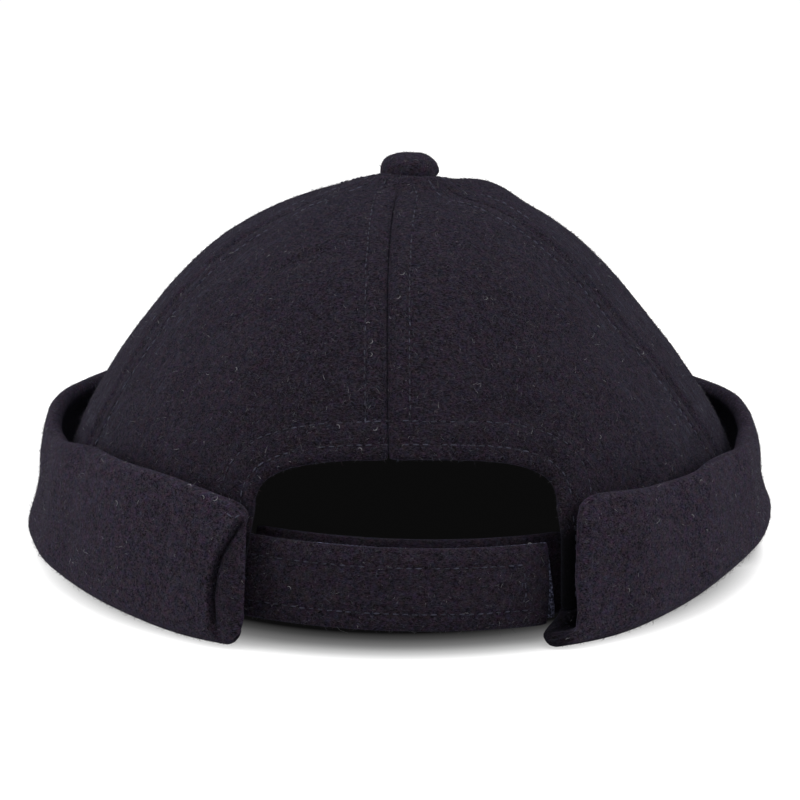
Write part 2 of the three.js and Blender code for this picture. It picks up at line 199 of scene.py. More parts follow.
def cuff_value(column, degrees):
    """A column of the cuff's table at any angle."""
    rows = CUFF_SECTIONS
    at = np.clip(np.mod(degrees, 360), rows[0, 0], rows[-1, 0])
    k = np.clip(np.searchsorted(rows[:, 0], at), 1, len(rows) - 1)
    step = rows[k, 0] - rows[k - 1, 0]
    s = (at - rows[k - 1, 0]) / step
    low = CUFF_SLOPES[k - 1, column] / CUFF_SLOPES[k - 1, 0]
    high = CUFF_SLOPES[k, column] / CUFF_SLOPES[k, 0]
    return (
        rows[k - 1, column] * (1 + 2 * s) * (1 - s) ** 2
        + low * step * s * (1 - s) ** 2
        + rows[k, column] * s * s * (3 - 2 * s)
        - high * step * s * s * (1 - s)
    )


def fold_lift(degrees):
    """How far the cuff's fold stands off the ground."""
    return np.maximum(0, cuff_value(1, degrees))


def crown_lean(up):
    """How far the crown leans to the right, part of the way up."""
    return APEX_LEAN * up**3 + CROWN_SHIFT * smooth(0, 0.35, up) * (1 - up**3)


def crown_form(degrees, up):
    """The crown's outside before its panels swell."""
    degrees, up = np.broadcast_arrays(np.asarray(degrees, float), np.asarray(up, float))
    at = np.radians(degrees)
    reach = np.where(np.cos(at) > 0, level("back", up), level("front", up))
    x = level("side", up) * np.sin(at) + crown_lean(up)
    z = level("height", up) + fold_lift(degrees) * (1 - up) ** 2
    return np.stack((x, -reach * np.cos(at), z), axis=-1)


def crown_outwards(degrees, up):
    """The direction straight out of the crown."""
    across = crown_form(degrees + 0.5, up) - crown_form(degrees - 0.5, up)
    along = crown_form(degrees, np.minimum(1, up + 0.004)) - crown_form(degrees, np.maximum(0, up - 0.004))
    out = np.cross(across, along)
    return out / np.linalg.norm(out, axis=-1, keepdims=True)


def crown_point(degrees, up, across):
    """A point of the crown's outside. across runs from 0 to 1 between two seams."""
    out = crown_outwards(degrees, up)
    lift = PANEL_SWELL * np.sin(np.pi * across) * np.sin(np.pi * np.minimum(1, up + 0.1))
    for at, high, wide, tall, height in CROWN_DENTS:
        round_it = turned_from(degrees, at) / wide
        lift = lift + height * np.exp(-(round_it**2) - ((up - high) / tall) ** 2)
    return crown_form(degrees, up) + out * lift[..., None], out


def beside_crown(degrees, out, height):
    """A point outside the crown's lower edge by out, square to that edge's oval, at a height."""
    at = np.radians(degrees)
    side = LEVELS["side"][0]
    reach = np.where(np.cos(at) > 0, LEVELS["back"][0], LEVELS["front"][0])
    square = np.stack((np.sin(at) / side, -np.cos(at) / reach), axis=-1)
    square /= np.linalg.norm(square, axis=-1, keepdims=True)
    return np.stack(
        (side * np.sin(at) + square[..., 0] * out, -reach * np.cos(at) + square[..., 1] * out, height + 0 * at),
        axis=-1,
    )


def arch_outline(beyond=0.0, steps=160, foot=-4.0):
    """The arched opening's edge from its lower left to its lower right, or a line beyond it, seen from behind."""
    a = np.linspace(np.pi, 0, steps)
    x = ARCH_HALF * np.sign(np.cos(a)) * np.abs(np.cos(a)) ** (2 / ARCH_POWER)
    z = ARCH_SPRING + (ARCH_TOP - ARCH_SPRING) * np.sin(a) ** (2 / ARCH_POWER)
    low = np.linspace(foot, ARCH_SPRING, 24)[:-1]
    left = -ARCH_HALF - ARCH_LEFT_FLARE * np.clip((ARCH_SPRING - low) / ARCH_LEFT_HIGH, 0, 1)
    right = ARCH_HALF + ARCH_RIGHT_FLARE * smooth(ARCH_SPRING + 1, ARCH_RIGHT_FOOT - 1, low[::-1])
    parts = ((left, low), (x, z), (right, low[::-1]))
    line = np.concatenate([np.stack(part, axis=-1) for part in parts])
    away = np.gradient(line, axis=0)
    away = np.stack((-away[:, 1], away[:, 0]), axis=-1)
    away /= np.linalg.norm(away, axis=-1, keepdims=True)
    return line + away * beyond + (ARCH_MIDDLE, 0)


ARCH_EDGE = arch_outline()


def beyond_arch(points):
    """How far each point lies outside the arched opening, seen from behind. It is negative inside."""
    flat = points.reshape(-1, 3)
    best = np.full(len(flat), 1e9)
    sign = np.ones(len(flat))
    for start, end in zip(ARCH_EDGE[:-1], ARCH_EDGE[1:]):
        edge = end - start
        from_start = flat[:, (0, 2)] - start
        t = np.clip(from_start @ edge / (edge @ edge), 0, 1)
        gap = from_start - t[:, None] * edge
        far = np.hypot(gap[:, 0], gap[:, 1])
        closer = far < best
        best = np.where(closer, far, best)
        side = edge[0] * gap[:, 1] - edge[1] * gap[:, 0]
        sign = np.where(closer, np.where(side >= 0, 1, -1), sign)
    front = flat[:, 1] > 0
    return np.where(front, 99, best * sign).reshape(points.shape[:-1])


def lay_out(points, outwards, place):
    """A grid of faces whose vertices lie at rows and columns of points."""
    rows, columns = points.shape[0] - 1, points.shape[1] - 1
    bm = bmesh.new()
    bmesh.ops.create_grid(bm, x_segments=columns, y_segments=rows, size=1)
    out = bm.verts.layers.float_vector.new("outwards")
    cloth = bm.verts.layers.float_vector.new("cloth")
    for v in bm.verts:
        i, j = round((v.co.y + 1) / 2 * rows), round((v.co.x + 1) / 2 * columns)
        v.co = (points[i, j] + SHIFT) * MM
        v[out] = outwards[i, j]
        v[cloth] = place[i, j]
    return bm


def trim(bm, value, edge):
    """Cuts the cloth along one level of a value kept on its vertices, and drops what lies under that level."""
    kept = [bm.verts.layers.float_vector[name] for name in ("outwards", "cloth")]
    at_edge = 1e-4

    def crossing(a, b):
        low, high = a[value] - edge, b[value] - edge
        return low / (low - high) if low * high < 0 and min(abs(low), abs(high)) > at_edge else None

    # Vertices close to the cut move onto it. Other edges that it crosses are split there.
    near = {}
    for e in bm.edges:
        t = crossing(*e.verts)
        if t is not None:
            for v, part in zip(e.verts, (t, 1 - t)):
                if part < min(0.3, near.get(v, (1, None))[0]):
                    near[v] = (part, e.other_vert(v))
    moves = {v: v.co.lerp(other.co, part) for v, (part, other) in near.items()}
    for v, co in moves.items():
        v.co = co
        v[value] = edge
    for e in [e for e in bm.edges if crossing(*e.verts) is not None]:
        a, b = e.verts
        t = crossing(a, b)
        co = a.co.lerp(b.co, t)
        mixed = [a[layer].lerp(b[layer], t) for layer in kept]
        _, v = bmesh.utils.edge_split(e, a, t)
        v.co = co
        v[value] = edge
        for layer, vector in zip(kept, mixed):
            v[layer] = vector
    bmesh.ops.connect_verts(bm, verts=[v for v in bm.verts if abs(v[value] - edge) < at_edge])
    under = [f for f in bm.faces if sum(v[value] - edge for v in f.verts) < 0]
    bmesh.ops.delete(bm, geom=under, context="FACES")


def put_in_order(bm):
    """Sorts vertices by place and faces by their vertices, because extruding lists them otherwise in each run."""
    bm.verts.sort(key=lambda v: v.co.x + 1.37 * v.co.y + 3.11 * v.co.z)
    bm.verts.index_update()
    count = len(bm.verts)

    def place(face):
        first, second, third = sorted(v.index for v in face.verts)[:3]
        return (first * count + second) * count + third

    bm.faces.sort(key=place)


def thicken(bm, thickness, steps=5):
    """Gives a sheet of cloth its thickness, with its edges rolled over in a half circle."""
    radius = thickness / 2 * MM
    out = bm.verts.layers.float_vector["outwards"]
    base = bm.verts.layers.float_vector.new("base")
    side = bm.verts.layers.float_vector.new("side")
    border = [e for e in bm.edges if e.is_boundary]
    for e in border:
        middle = (e.verts[0].co + e.verts[1].co) / 2
        away = (e.verts[1].co - e.verts[0].co).cross(e.verts[0][out]).normalized()
        if away.dot(middle - e.link_faces[0].calc_center_median()) < 0:
            away.negate()
        for v in e.verts:
            v[side] = Vector(v[side]) + away
    for v in bm.verts:
        v[base] = v.co
        v[side] = Vector(v[side]).normalized()
    inner = bmesh.ops.duplicate(bm, geom=bm.verts[:] + bm.edges[:] + bm.faces[:])["geom"]
    for v in inner:
        if isinstance(v, bmesh.types.BMVert):
            v.co = v.co - 2 * radius * Vector(v[out])
    edges = border
    for k in range(1, steps + 1):
        a = math.pi * k / steps
        grown = bmesh.ops.extrude_edge_only(bm, edges=edges)["geom"]
        edges = [g for g in grown if isinstance(g, bmesh.types.BMEdge)]
        for v in grown:
            if isinstance(v, bmesh.types.BMVert):
                roll = Vector(v[side]) * math.sin(a) - Vector(v[out]) * (1 - math.cos(a))
                v.co = Vector(v[base]) + roll * radius
    edge_verts = [v for v in bm.verts if v.is_boundary]
    bmesh.ops.remove_doubles(bm, verts=edge_verts, dist=2e-6)
    bmesh.ops.recalc_face_normals(bm, faces=bm.faces[:])
    for name in ("base", "side"):
        bm.verts.layers.float_vector.remove(bm.verts.layers.float_vector[name])
    put_in_order(bm)


def finished(bm, name, material, replaced=()):
    """The bmesh as a finished piece that rides on the cap and stands for the CAD nodes it replaces."""
    mesh = bpy.data.meshes.new(name)
    bm.to_mesh(mesh)
    bm.free()
    mesh.materials.append(material)
    mesh.polygons.foreach_set("use_smooth", [True] * len(mesh.polygons))
    piece = bpy.data.objects.new(name, mesh)
    bpy.context.scene.collection.objects.link(piece)
    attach(piece, "root")
    if replaced:
        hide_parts(*replaced)
    return piece


def travelled(path):
    """How far along a line of points each of them lies."""
    return np.concatenate(((0,), np.cumsum(np.linalg.norm(np.diff(path, axis=0), axis=-1))))


def seam_angles(left, right, up):
    """The angles of a panel's two seams, part of the way up."""
    return [SEAMS[seam][0] + (SEAMS[seam][1] - SEAMS[seam][0]) * up**2 for seam in (left, right)]


def panel_width(start, end, up):
    """The width of a panel's cloth from one seam's angle to the other's, part of the way up."""
    samples = crown_form(start + (end - start) * np.linspace(0, 1, 25), up)
    return np.linalg.norm(np.diff(samples, axis=1), axis=-1).sum(axis=1)


# Distances from a seam at which a panel's grid has its first columns. They close up where the panel is narrower
# than the full width.
BESIDE_SEAM = np.array((1.03, 1.4, 1.9, 2.6, 3.4, 4.2, 4.8, 5.3, SEAM_STITCHES, 6.3, 6.9, 7.8))
FULL_WIDTH = 26
SHOULDER = 62


def panel_grid(left, right, spacing, rise):
    """Angles, heights up and seam distances of a panel's grid, closer together beside its seams."""
    ups = np.linspace(0, 1, 401)
    travel = travelled(crown_form((SEAMS[left][0] + SEAMS[right][0]) / 2, ups))
    upper = np.arange(SHOULDER, travel[-1] - 0.4, rise * 1.35)
    heights = np.concatenate((np.arange(1.0, SHOULDER - 0.1, rise), upper, (travel[-1] - 0.2,)))
    up = np.interp(heights, travel, ups)[:, None]
    start, end = seam_angles(left, right, up)
    width = panel_width(start, end, up)[:, None]
    scale = np.minimum(1, width / FULL_WIDTH)
    beside = BESIDE_SEAM * scale
    margin = BESIDE_SEAM[-1]
    count = int((width[0, 0] - 2 * margin) / spacing)
    inner = margin * scale + (width - 2 * margin * scale) * np.linspace(0, 1, count + 1)[1:-1]
    from_left = np.concatenate((beside, inner, width - beside[:, ::-1]), axis=1)
    across = from_left / width
    degrees = start + (end - start) * across
    return degrees, up + 0 * across, across, from_left, width - from_left, heights[:, None] + 0 * across, scale


# Soft creases of the back, each from one place to another as angle and part of the way up, with its width and
# how far it stands out.
CREASES = (
    ((-42, 0.595), (-27, 0.668), 2.6, 0.75),
    ((-43, 0.565), (-27, 0.635), 3.0, -0.5),
    ((19, 0.372), (29, 0.365), 3.2, -0.9),
    ((12, 0.41), (34, 0.43), 4.5, 0.5),
    ((-62, 0.42), (-40, 0.35), 5.0, -0.5),
    ((36, 0.62), (52, 0.5), 4.5, -0.5),
    ((38, 0.2), (50, 0.235), 5.5, -2.4),
    ((96, 0.77), (128, 0.79), 4.5, 1.1),
    ((90, 0.65), (112, 0.67), 5.0, -0.9),
    ((112, 0.88), (140, 0.89), 4.0, -0.6),
    ((252, 0.7), (275, 0.7), 8.0, -0.9),
    ((-34, 0.22), (-22, 0.18), 4.5, -1.2),
)


def creased(points):
    """How far the creases move each point outwards."""
    lift = np.zeros(points.shape[:-1])
    for start, end, wide, out in CREASES:
        a, b = (crown_form(*place) for place in (start, end))
        along_it = b - a
        t = np.clip((points - a) @ along_it / (along_it @ along_it), 0, 1)
        gap = np.linalg.norm(points - a - t[..., None] * along_it, axis=-1)
        lift += out * bell(gap, wide) * (0.35 + 0.65 * np.sin(np.pi * np.clip(t, 0.05, 0.95)))
    return lift


def panel_relief(points, degrees, left, right, scale):
    """How far seams, hem, puckers and soft handling move the cloth of a panel, outwards."""
    near = np.minimum(left, right) / scale
    arch = beyond_arch(points)
    allowance = smooth(1.0, 2.4, near) * (1 - smooth(4.9, 7.6, near))
    hem = smooth(0.4, 1.8, arch) * (1 - smooth(7.6, 10.4, arch))
    lift = 0.55 * np.maximum(allowance * scale, hem)
    # Rows of stitches draw the cloth in.
    lift -= 0.42 * bell(near - SEAM_STITCHES, 0.62) * scale * smooth(7.5, 9.0, arch)
    for row, deep, wide in zip(ARCH_STITCHES, (0.4, 0.42), (0.6, 0.65)):
        lift -= deep * bell(arch - row, wide)
    # It puckers beside them.
    fine = roughly(points, 3.1, 1)
    lift += 0.2 * fine * scale * bell(near - 5.2, 3.0)
    lift += 0.18 * fine * bell(arch - 5.5, 4.5)
    soft = 0.42 * roughly(points, 36, 2) + 0.24 * roughly(points, 13, 3) + 0.09 * roughly(points, 4.2, 4)
    lift += soft + creased(points)
    lift = lift * (1 - 0.75 * smooth(84, 97, points[..., 2]))
    # The crown dips to the right of the button, and rises a little against the button's near side.
    apex = np.hypot(points[..., 0] - APEX_LEAN - BUTTON_SHIFT, points[..., 1])
    to_right = smooth(0.1, 0.8, np.sin(np.radians(degrees)))
    to_back = smooth(-0.2, 0.6, np.cos(np.radians(degrees)))
    return lift - 1.2 * bell(apex - 16, 6) * to_right + 1.7 * bell(apex - 8, 3.4) * to_back


def length(name, description, default, precision=5):
    """A setting for a length."""
    return bpy.props.FloatProperty(
        name=name, description=description, default=default * MM, unit="LENGTH", precision=precision
    )


def color(name, description, default):
    """A setting for a colour."""
    return bpy.props.FloatVectorProperty(name=name, description=description, default=default, subtype="COLOR")


class BeanieCloth(bpy.types.PropertyGroup):
    """Sizes and colours of the wool."""

    crown_thickness: length("Crown thickness", "Thickness of the crown's wool", 2, 4)
    cuff_plump: length("Cuff plumpness", "Half the cuff's thickness at its rim", 2.35, 4)
    wool: color("Wool", "Colour of the wool", (0.0170, 0.0133, 0.0198))
    strap_wool: color("Strap wool", "Colour of the strap's wool", (0.0165, 0.0130, 0.0192))
    tape: color("Tape", "Colour of the hook and loop tape", (0.085, 0.088, 0.14))
    thread: color("Thread", "Colour of the sewing thread", (0.03, 0.03, 0.047))


class BeanieSewing(bpy.types.PropertyGroup):
    """Sizes of the stitches and of the fibres that stand off the wool."""

    stitch_length: length("Stitch length", "Length of thread that shows in one stitch", 1.75)
    stitch_pitch: length("Stitch pitch", "Distance from one stitch to the next", 2.32)
    thread_radius: length("Thread radius", "Half the thickness of the thread", 0.18)
    fibre_width: length("Fibre width", "Width of one loose fibre", 0.06, 6)
    fibre_length: length("Fibre length", "Usual length of one loose fibre", 0.9)
    fibres: bpy.props.IntProperty(
        name="Fibres", description="Loose fibres on one square centimetre of cloth that faces out", default=150,
        min=0, max=250,
    )


def feed(tree, socket, value):
    """Gives a socket a value, or links it to the socket that feeds it."""
    if isinstance(value, bpy.types.NodeSocket):
        tree.links.new(value, socket)
    else:
        socket.default_value = value


def add(tree, kind, inputs=None, **settings):
    """A new node with its settings and inputs, each input a value or the socket that feeds it."""
    made = tree.nodes.new(kind)
    for name, value in settings.items():
        setattr(made, name, value)
    for name, value in (inputs or {}).items():
        feed(tree, made.inputs[name], value)
    return made


def blend(tree, factor, a, b, how="MIX"):
    """The result of mixing two colours."""
    return add(tree, "ShaderNodeMix", {0: factor, 6: a, 7: b}, data_type="RGBA", blend_type=how).outputs[2]


def sums(tree, how, a, b=0.5, c=0.5):
    """One step of arithmetic."""
    return add(tree, "ShaderNodeMath", {0: a, 1: b, 2: c}, operation=how).outputs[0]


def ranged(tree, value, low, high, to_low=0.0, to_high=1.0):
    """A value brought from one range to another."""
    ends = {"From Min": low, "From Max": high, "To Min": to_low, "To Max": to_high}
    return add(tree, "ShaderNodeMapRange", {"Value": value, **ends}).outputs["Result"]


def tinted(color, factor):
    """A colour made lighter or darker, with its alpha."""
    return (*(factor * c for c in color), 1)


def fulled_wool():
    """The node group for fulled wool: matted fibres, dark and light, with coloured flecks."""
    group = bpy.data.node_groups.get("Fulled wool")
    if group:
        return group
    group = bpy.data.node_groups.new("Fulled wool", "ShaderNodeTree")
    for name, kind, default in (
        ("Wool", "NodeSocketColor", (0.02, 0.018, 0.026, 1)),
        ("Flecks", "NodeSocketFloat", 1.0),
        ("Contrast", "NodeSocketFloat", 1.0),
    ):
        group.interface.new_socket(name, in_out="INPUT", socket_type=kind).default_value = default
    group.interface.new_socket("Color", in_out="OUTPUT", socket_type="NodeSocketColor")
    group.interface.new_socket("Height", in_out="OUTPUT", socket_type="NodeSocketFloat")
    given = add(group, "NodeGroupInput").outputs
    at = add(group, "ShaderNodeTexCoord").outputs["Object"]

    def grain(size, detail=2.0, rough=0.55, vector=at, distortion=0.0):
        return add(group, "ShaderNodeTexNoise", {"Vector": vector, "Scale": 1 / (size * MM), "Detail": detail,
                                                 "Roughness": rough, "Distortion": distortion})

    matted = grain(0.62, 3.0, 0.62, distortion=0.6).outputs["Fac"]
    clumps = grain(2.4, 2.0).outputs["Fac"]
    broad = grain(34.0, 1.0).outputs["Fac"]
    # Fibres that lie in three directions.
    strands = None
    for turn, lean in ((0.3, 0.5), (1.4, -0.7), (2.3, 0.2)):
        lay = add(group, "ShaderNodeMapping", {"Vector": at, "Rotation": (lean, turn, turn * 1.7),
                                               "Scale": (1.0, 5.5, 5.5)}).outputs["Vector"]
        strand = ranged(group, grain(1.0, 1.0, vector=lay).outputs["Fac"], 0.54, 0.7)
        strands = strand if strands is None else sums(group, "MAXIMUM", strands, strand)
    tone = ranged(group, matted, 0.3, 0.7, -0.75, 0.8)
    for part, *ends in (
        (clumps, 0.3, 0.7, -0.2, 0.2),
        (strands, 0, 1, -0.2, 0.95),
        (broad, 0.3, 0.7, -0.07, 0.07),
    ):
        tone = sums(group, "ADD", tone, ranged(group, part, *ends))
    tone = sums(group, "MAXIMUM", sums(group, "MULTIPLY_ADD", tone, given["Contrast"], 1.0), 0.08)
    grey = add(group, "ShaderNodeCombineColor", {"Red": tone, "Green": tone, "Blue": tone}).outputs["Color"]
    color = blend(group, 1.0, given["Wool"], grey, "MULTIPLY")
    # Dyed fibres turn the cloth a little redder, greener or bluer from place to place.
    hues = add(group, "ShaderNodeVectorMath", {0: grain(1.5, 2.0).outputs["Color"], 1: (1.0, 0.7, 0.9),
                                               2: (0.5, 0.61, 0.55)}, operation="MULTIPLY_ADD").outputs["Vector"]
    color = blend(group, 1.0, color, hues, "MULTIPLY")
    # Flecks of dyed and undyed fibre.
    for size, share, tint in (
        (0.75, 0.88, (0.042, 0.019, 0.029, 1)),
        (0.65, 0.89, (0.022, 0.03, 0.06, 1)),
        (0.8, 0.9, (0.055, 0.052, 0.062, 1)),
        (0.85, 0.972, (0.13, 0.13, 0.15, 1)),
    ):
        lay = add(group, "ShaderNodeMapping", {"Vector": at, "Rotation": (size * 2, size * 5, size * 3),
                                               "Scale": (1.0, 1.7, 1.7)}).outputs["Vector"]
        cell = add(group, "ShaderNodeTexVoronoi", {"Vector": lay, "Scale": 1 / (size * MM), "Randomness": 1.0})
        chosen = add(group, "ShaderNodeSeparateColor", {"Color": cell.outputs["Color"]}).outputs["Red"]
        mask = sums(group, "GREATER_THAN", chosen, share)
        mask = sums(group, "MULTIPLY", mask, ranged(group, cell.outputs["Distance"], 0.42, 0.1))
        mask = sums(group, "MULTIPLY", mask, given["Flecks"])
        color = blend(group, sums(group, "MULTIPLY", mask, 0.5), color, tint)
    height = sums(group, "MULTIPLY_ADD", strands, 0.45, sums(group, "MULTIPLY", matted, 0.8))
    height = sums(group, "MULTIPLY_ADD", clumps, 0.8, height)
    add(group, "NodeGroupOutput", {"Color": color, "Height": height})
    return group


def brushed_nap_painted_sheen():
    """The node group for nap that has been brushed flat along the seams, as a mask of pale streaks. Their
    paleness is painted sheen.
    """
    group = bpy.data.node_groups.get("Brushed nap with painted sheen")
    if group:
        return group
    group = bpy.data.node_groups.new("Brushed nap with painted sheen", "ShaderNodeTree")
    group.interface.new_socket("Place", in_out="INPUT", socket_type="NodeSocketVector")
    group.interface.new_socket("Amount", in_out="INPUT", socket_type="NodeSocketFloat").default_value = 1.0
    group.interface.new_socket("Streaks", in_out="OUTPUT", socket_type="NodeSocketFloat")
    given = add(group, "NodeGroupInput").outputs
    streak = None
    # Fine lines, in patches.
    for scale, detail, low, high in (((1.5, 0.22, 1.0), 2.0, 0.47, 0.78), ((0.2, 0.05, 1.0), 1.0, 0.35, 0.65)):
        lay = add(group, "ShaderNodeMapping", {"Vector": given["Place"], "Scale": scale}).outputs["Vector"]
        given_lay = {"Vector": lay, "Scale": 1.0, "Detail": detail}
        noisy = add(group, "ShaderNodeTexNoise", given_lay, noise_dimensions="2D").outputs["Fac"]
        part = ranged(group, noisy, low, high)
        streak = part if streak is None else sums(group, "MULTIPLY", streak, part)
    add(group, "NodeGroupOutput", {"Streaks": sums(group, "MULTIPLY", streak, given["Amount"])})
    return group


def named_material(name, roughness, specular):
    """A material of that name, with its Principled shader."""
    made = bpy.data.materials.new(name)
    made.use_nodes = True
    tree = made.node_tree
    tree.nodes.clear()
    shader = add(tree, "ShaderNodeBsdfPrincipled", {"Roughness": roughness, "Specular IOR Level": specular})
    add(tree, "ShaderNodeOutputMaterial", {"Surface": shader.outputs["BSDF"]})
    return made, tree, shader


def raise_grain(tree, shader, height, strength, distance):
    """Lets a height bend the shader's normal."""
    raised = add(tree, "ShaderNodeBump", {"Height": height, "Strength": strength, "Distance": distance * MM})
    feed(tree, shader.inputs["Normal"], raised.outputs["Normal"])


def wool_material(name, wool, contrast=1.0, flecks=1.0, bump=0.3, nap=0.0):
    """Fulled wool in one colour. With nap, the cloth attribute says where the nap is brushed, painted as pale
    streaks that stand in for its sheen, and where shade is painted into the wool.
    """
    made, tree, shader = named_material(name, 0.95, 0.06)
    cloth = add(tree, "ShaderNodeGroup", node_tree=fulled_wool())
    for socket, value in (("Wool", wool), ("Flecks", flecks), ("Contrast", contrast)):
        feed(tree, cloth.inputs[socket], value)
    shade = cloth.outputs["Color"]
    if nap:
        place = add(tree, "ShaderNodeAttribute", attribute_name="cloth").outputs["Vector"]
        amount = add(tree, "ShaderNodeSeparateXYZ", {"Vector": place}).outputs["Z"]
        brushed = add(tree, "ShaderNodeGroup", node_tree=brushed_nap_painted_sheen())
        feed(tree, brushed.inputs["Place"], place)
        feed(tree, brushed.inputs["Amount"], sums(tree, "MULTIPLY", amount, nap))
        # Pale streaks where the nap is brushed flat; their paleness stands in for its sheen, painted into the
        # colour.
        shade = blend(tree, brushed.outputs["Streaks"], shade, (0.05, 0.052, 0.074, 1))
        # Painted shade: the wool turns near black where the cloth attribute's Z is negative.
        shade = blend(tree, ranged(tree, amount, 0, -1), shade, (0.001, 0.001, 0.0012, 1))
    feed(tree, shader.inputs["Base Color"], shade)
    raise_grain(tree, shader, cloth.outputs["Height"], 0.75, bump)
    shader.inputs["Sheen Weight"].default_value = 0.05
    shader.inputs["Sheen Roughness"].default_value = 0.45
    shader.inputs["Sheen Tint"].default_value = (0.62, 0.66, 1.0, 1)
    return made


def crown_nap_and_painted_shade(degrees, up, high):
    """The brushed nap's amount at places of the crown. It is negative where shade is painted into the wool."""
    # The nap's pale streaks are strongest low on the crown's sides, where they paint the sheen seen at its edges.
    nap = np.clip(np.abs(np.sin(np.radians(degrees))) * 1.5 - 0.75, 0, 1) * (1 - smooth(0.55, 0.8, up))
    aside = np.abs(turned_from(degrees, 0))
    # Shade is painted into the cloth beside the arch, where the cuff's ends shade it, and into the cloth behind
    # the cuff's rim.
    nap = nap - 0.94 * smooth(22, 26, aside) * (1 - smooth(34, 38, aside)) * (1 - smooth(24, 34, high))
    behind_rim = smooth(32, 40, aside) * (1 - smooth(-6, 2, high - cuff_value(2, degrees)))
    # The back's low middle also gets a little painted shade.
    return nap * (1 - behind_rim) - 0.55 * behind_rim - 0.16 * bell(high - 47, 17) * (1 - smooth(25, 60, aside))


class BEANIE_OT_crown(bpy.types.Operator):
    """Makes the five panels of the crown"""

    bl_idname = "beanie.crown"
    bl_label = "Crown"

    def execute(self, context):
        cloth = context.scene.beanie_cloth
        wool = wool_material("crown wool", tinted(cloth.wool, 0.89), contrast=1.3, nap=1.0)
        for name, left_seam, right_seam, spacing, rise in PANELS:
            degrees, up, across, left, right, heights, scale = panel_grid(left_seam, right_seam, spacing, rise)
            points, out = crown_point(degrees, up, across)
            points = points + out * panel_relief(points, degrees, left, right, scale)[..., None]
            nap = crown_nap_and_painted_shade(degrees, up, points[..., 2])
            bm = lay_out(points, out, np.stack((np.minimum(left, right), heights, nap), axis=-1))
            if "back" in name:
                value = bm.verts.layers.float.new("beyond")
                for v, gap in zip(bm.verts, beyond_arch(points).reshape(-1)):
                    v[value] = gap
                trim(bm, value, cloth.crown_thickness / 2 / MM)
                bm.verts.layers.float.remove(bm.verts.layers.float["beyond"])
            thicken(bm, cloth.crown_thickness / MM)
            finished(bm, name.replace("crown_panel", "wool_panel"), wool, (name,))
        return {"FINISHED"}


def cuff_section(degrees, plump):
    """Points round the cuff's section at each angle, on its outer and inner face, as distance out and height."""
    half_low = CUFF_WALL / 2
    bend = half_low + FOLD_SPACE / 2
    leg = CUFF_INSIDE + half_low
    lift = fold_lift(degrees)
    rim = np.stack((cuff_value(3, degrees), cuff_value(2, degrees) - plump), axis=-1)
    centre = np.stack((leg + bend + 0 * lift, bend + half_low + lift), axis=-1)
    top = LEVELS["height"][0] - CLEARANCE + lift
    middle, outwards, half = [], [], []
    for s in np.linspace(0, 1, 4)[:-1]:
        middle.append(np.stack((leg + 0 * lift, top + (centre[..., 1] - top) * s), axis=-1))
        outwards.append(np.array((-1.0, 0)) + 0 * middle[-1])
        half.append(half_low + 0 * lift)
    for a in np.linspace(np.pi, 2 * np.pi, 15):
        away = np.array((math.cos(a), math.sin(a)))
        middle.append(centre + away * bend)
        outwards.append(away + 0 * middle[-1])
        half.append(half_low + 0 * lift)
    foot = middle[-1]
    rise = rim - foot
    out = np.stack((rise[..., 1], -rise[..., 0]), axis=-1)
    out /= np.linalg.norm(out, axis=-1, keepdims=True)
    for s in np.linspace(0, 1, 31)[1:]:
        middle.append(foot + rise * s + out * 1.1 * math.sin(math.pi * s))
        outwards.append(out)
        half.append(half_low + (plump - half_low) * float(smooth(0.1, 0.75, s)) + 0 * lift)
    middle, outwards, half = np.array(middle), np.array(outwards), np.array(half)[..., None]
    outside = middle + outwards * half
    inside = middle - outwards * half
    upwards = rise / np.linalg.norm(rise, axis=-1, keepdims=True)
    over = []
    for a in np.linspace(0, np.pi, 10)[1:-1]:
        over.append(rim + (out * math.cos(a) + upwards * math.sin(a)) * plump)
    loop = np.concatenate((outside, np.array(over), inside[::-1], outside[:1]))
    spine = np.concatenate((middle, np.repeat(middle[-1:], len(over), axis=0), middle[::-1], middle[:1]))
    station = np.concatenate((np.arange(len(middle)), np.full(len(over), len(middle) - 1),
                              np.arange(len(middle))[::-1], (0,)))
    return loop, spine, station


def cuff_angles(first, last):
    """The angles of the cuff's sections, closest together at its ends and widest apart round the front."""
    side = 98
    near = np.concatenate(((0, 0.1, 0.3, 0.6, 0.95, 1.35), np.arange(1.8, 12, 0.5))) * CUFF_PER_MM
    fine = np.arange(first + 12.6 * CUFF_PER_MM, side, 1.25 * CUFF_PER_MM)
    far = np.arange(side + 1, 260, 2.6 * CUFF_PER_MM)
    right = np.concatenate((first + near, fine))
    left = last - (right - first)[::-1]
    return np.concatenate((right, far, left[left > far[-1] + 0.5]))


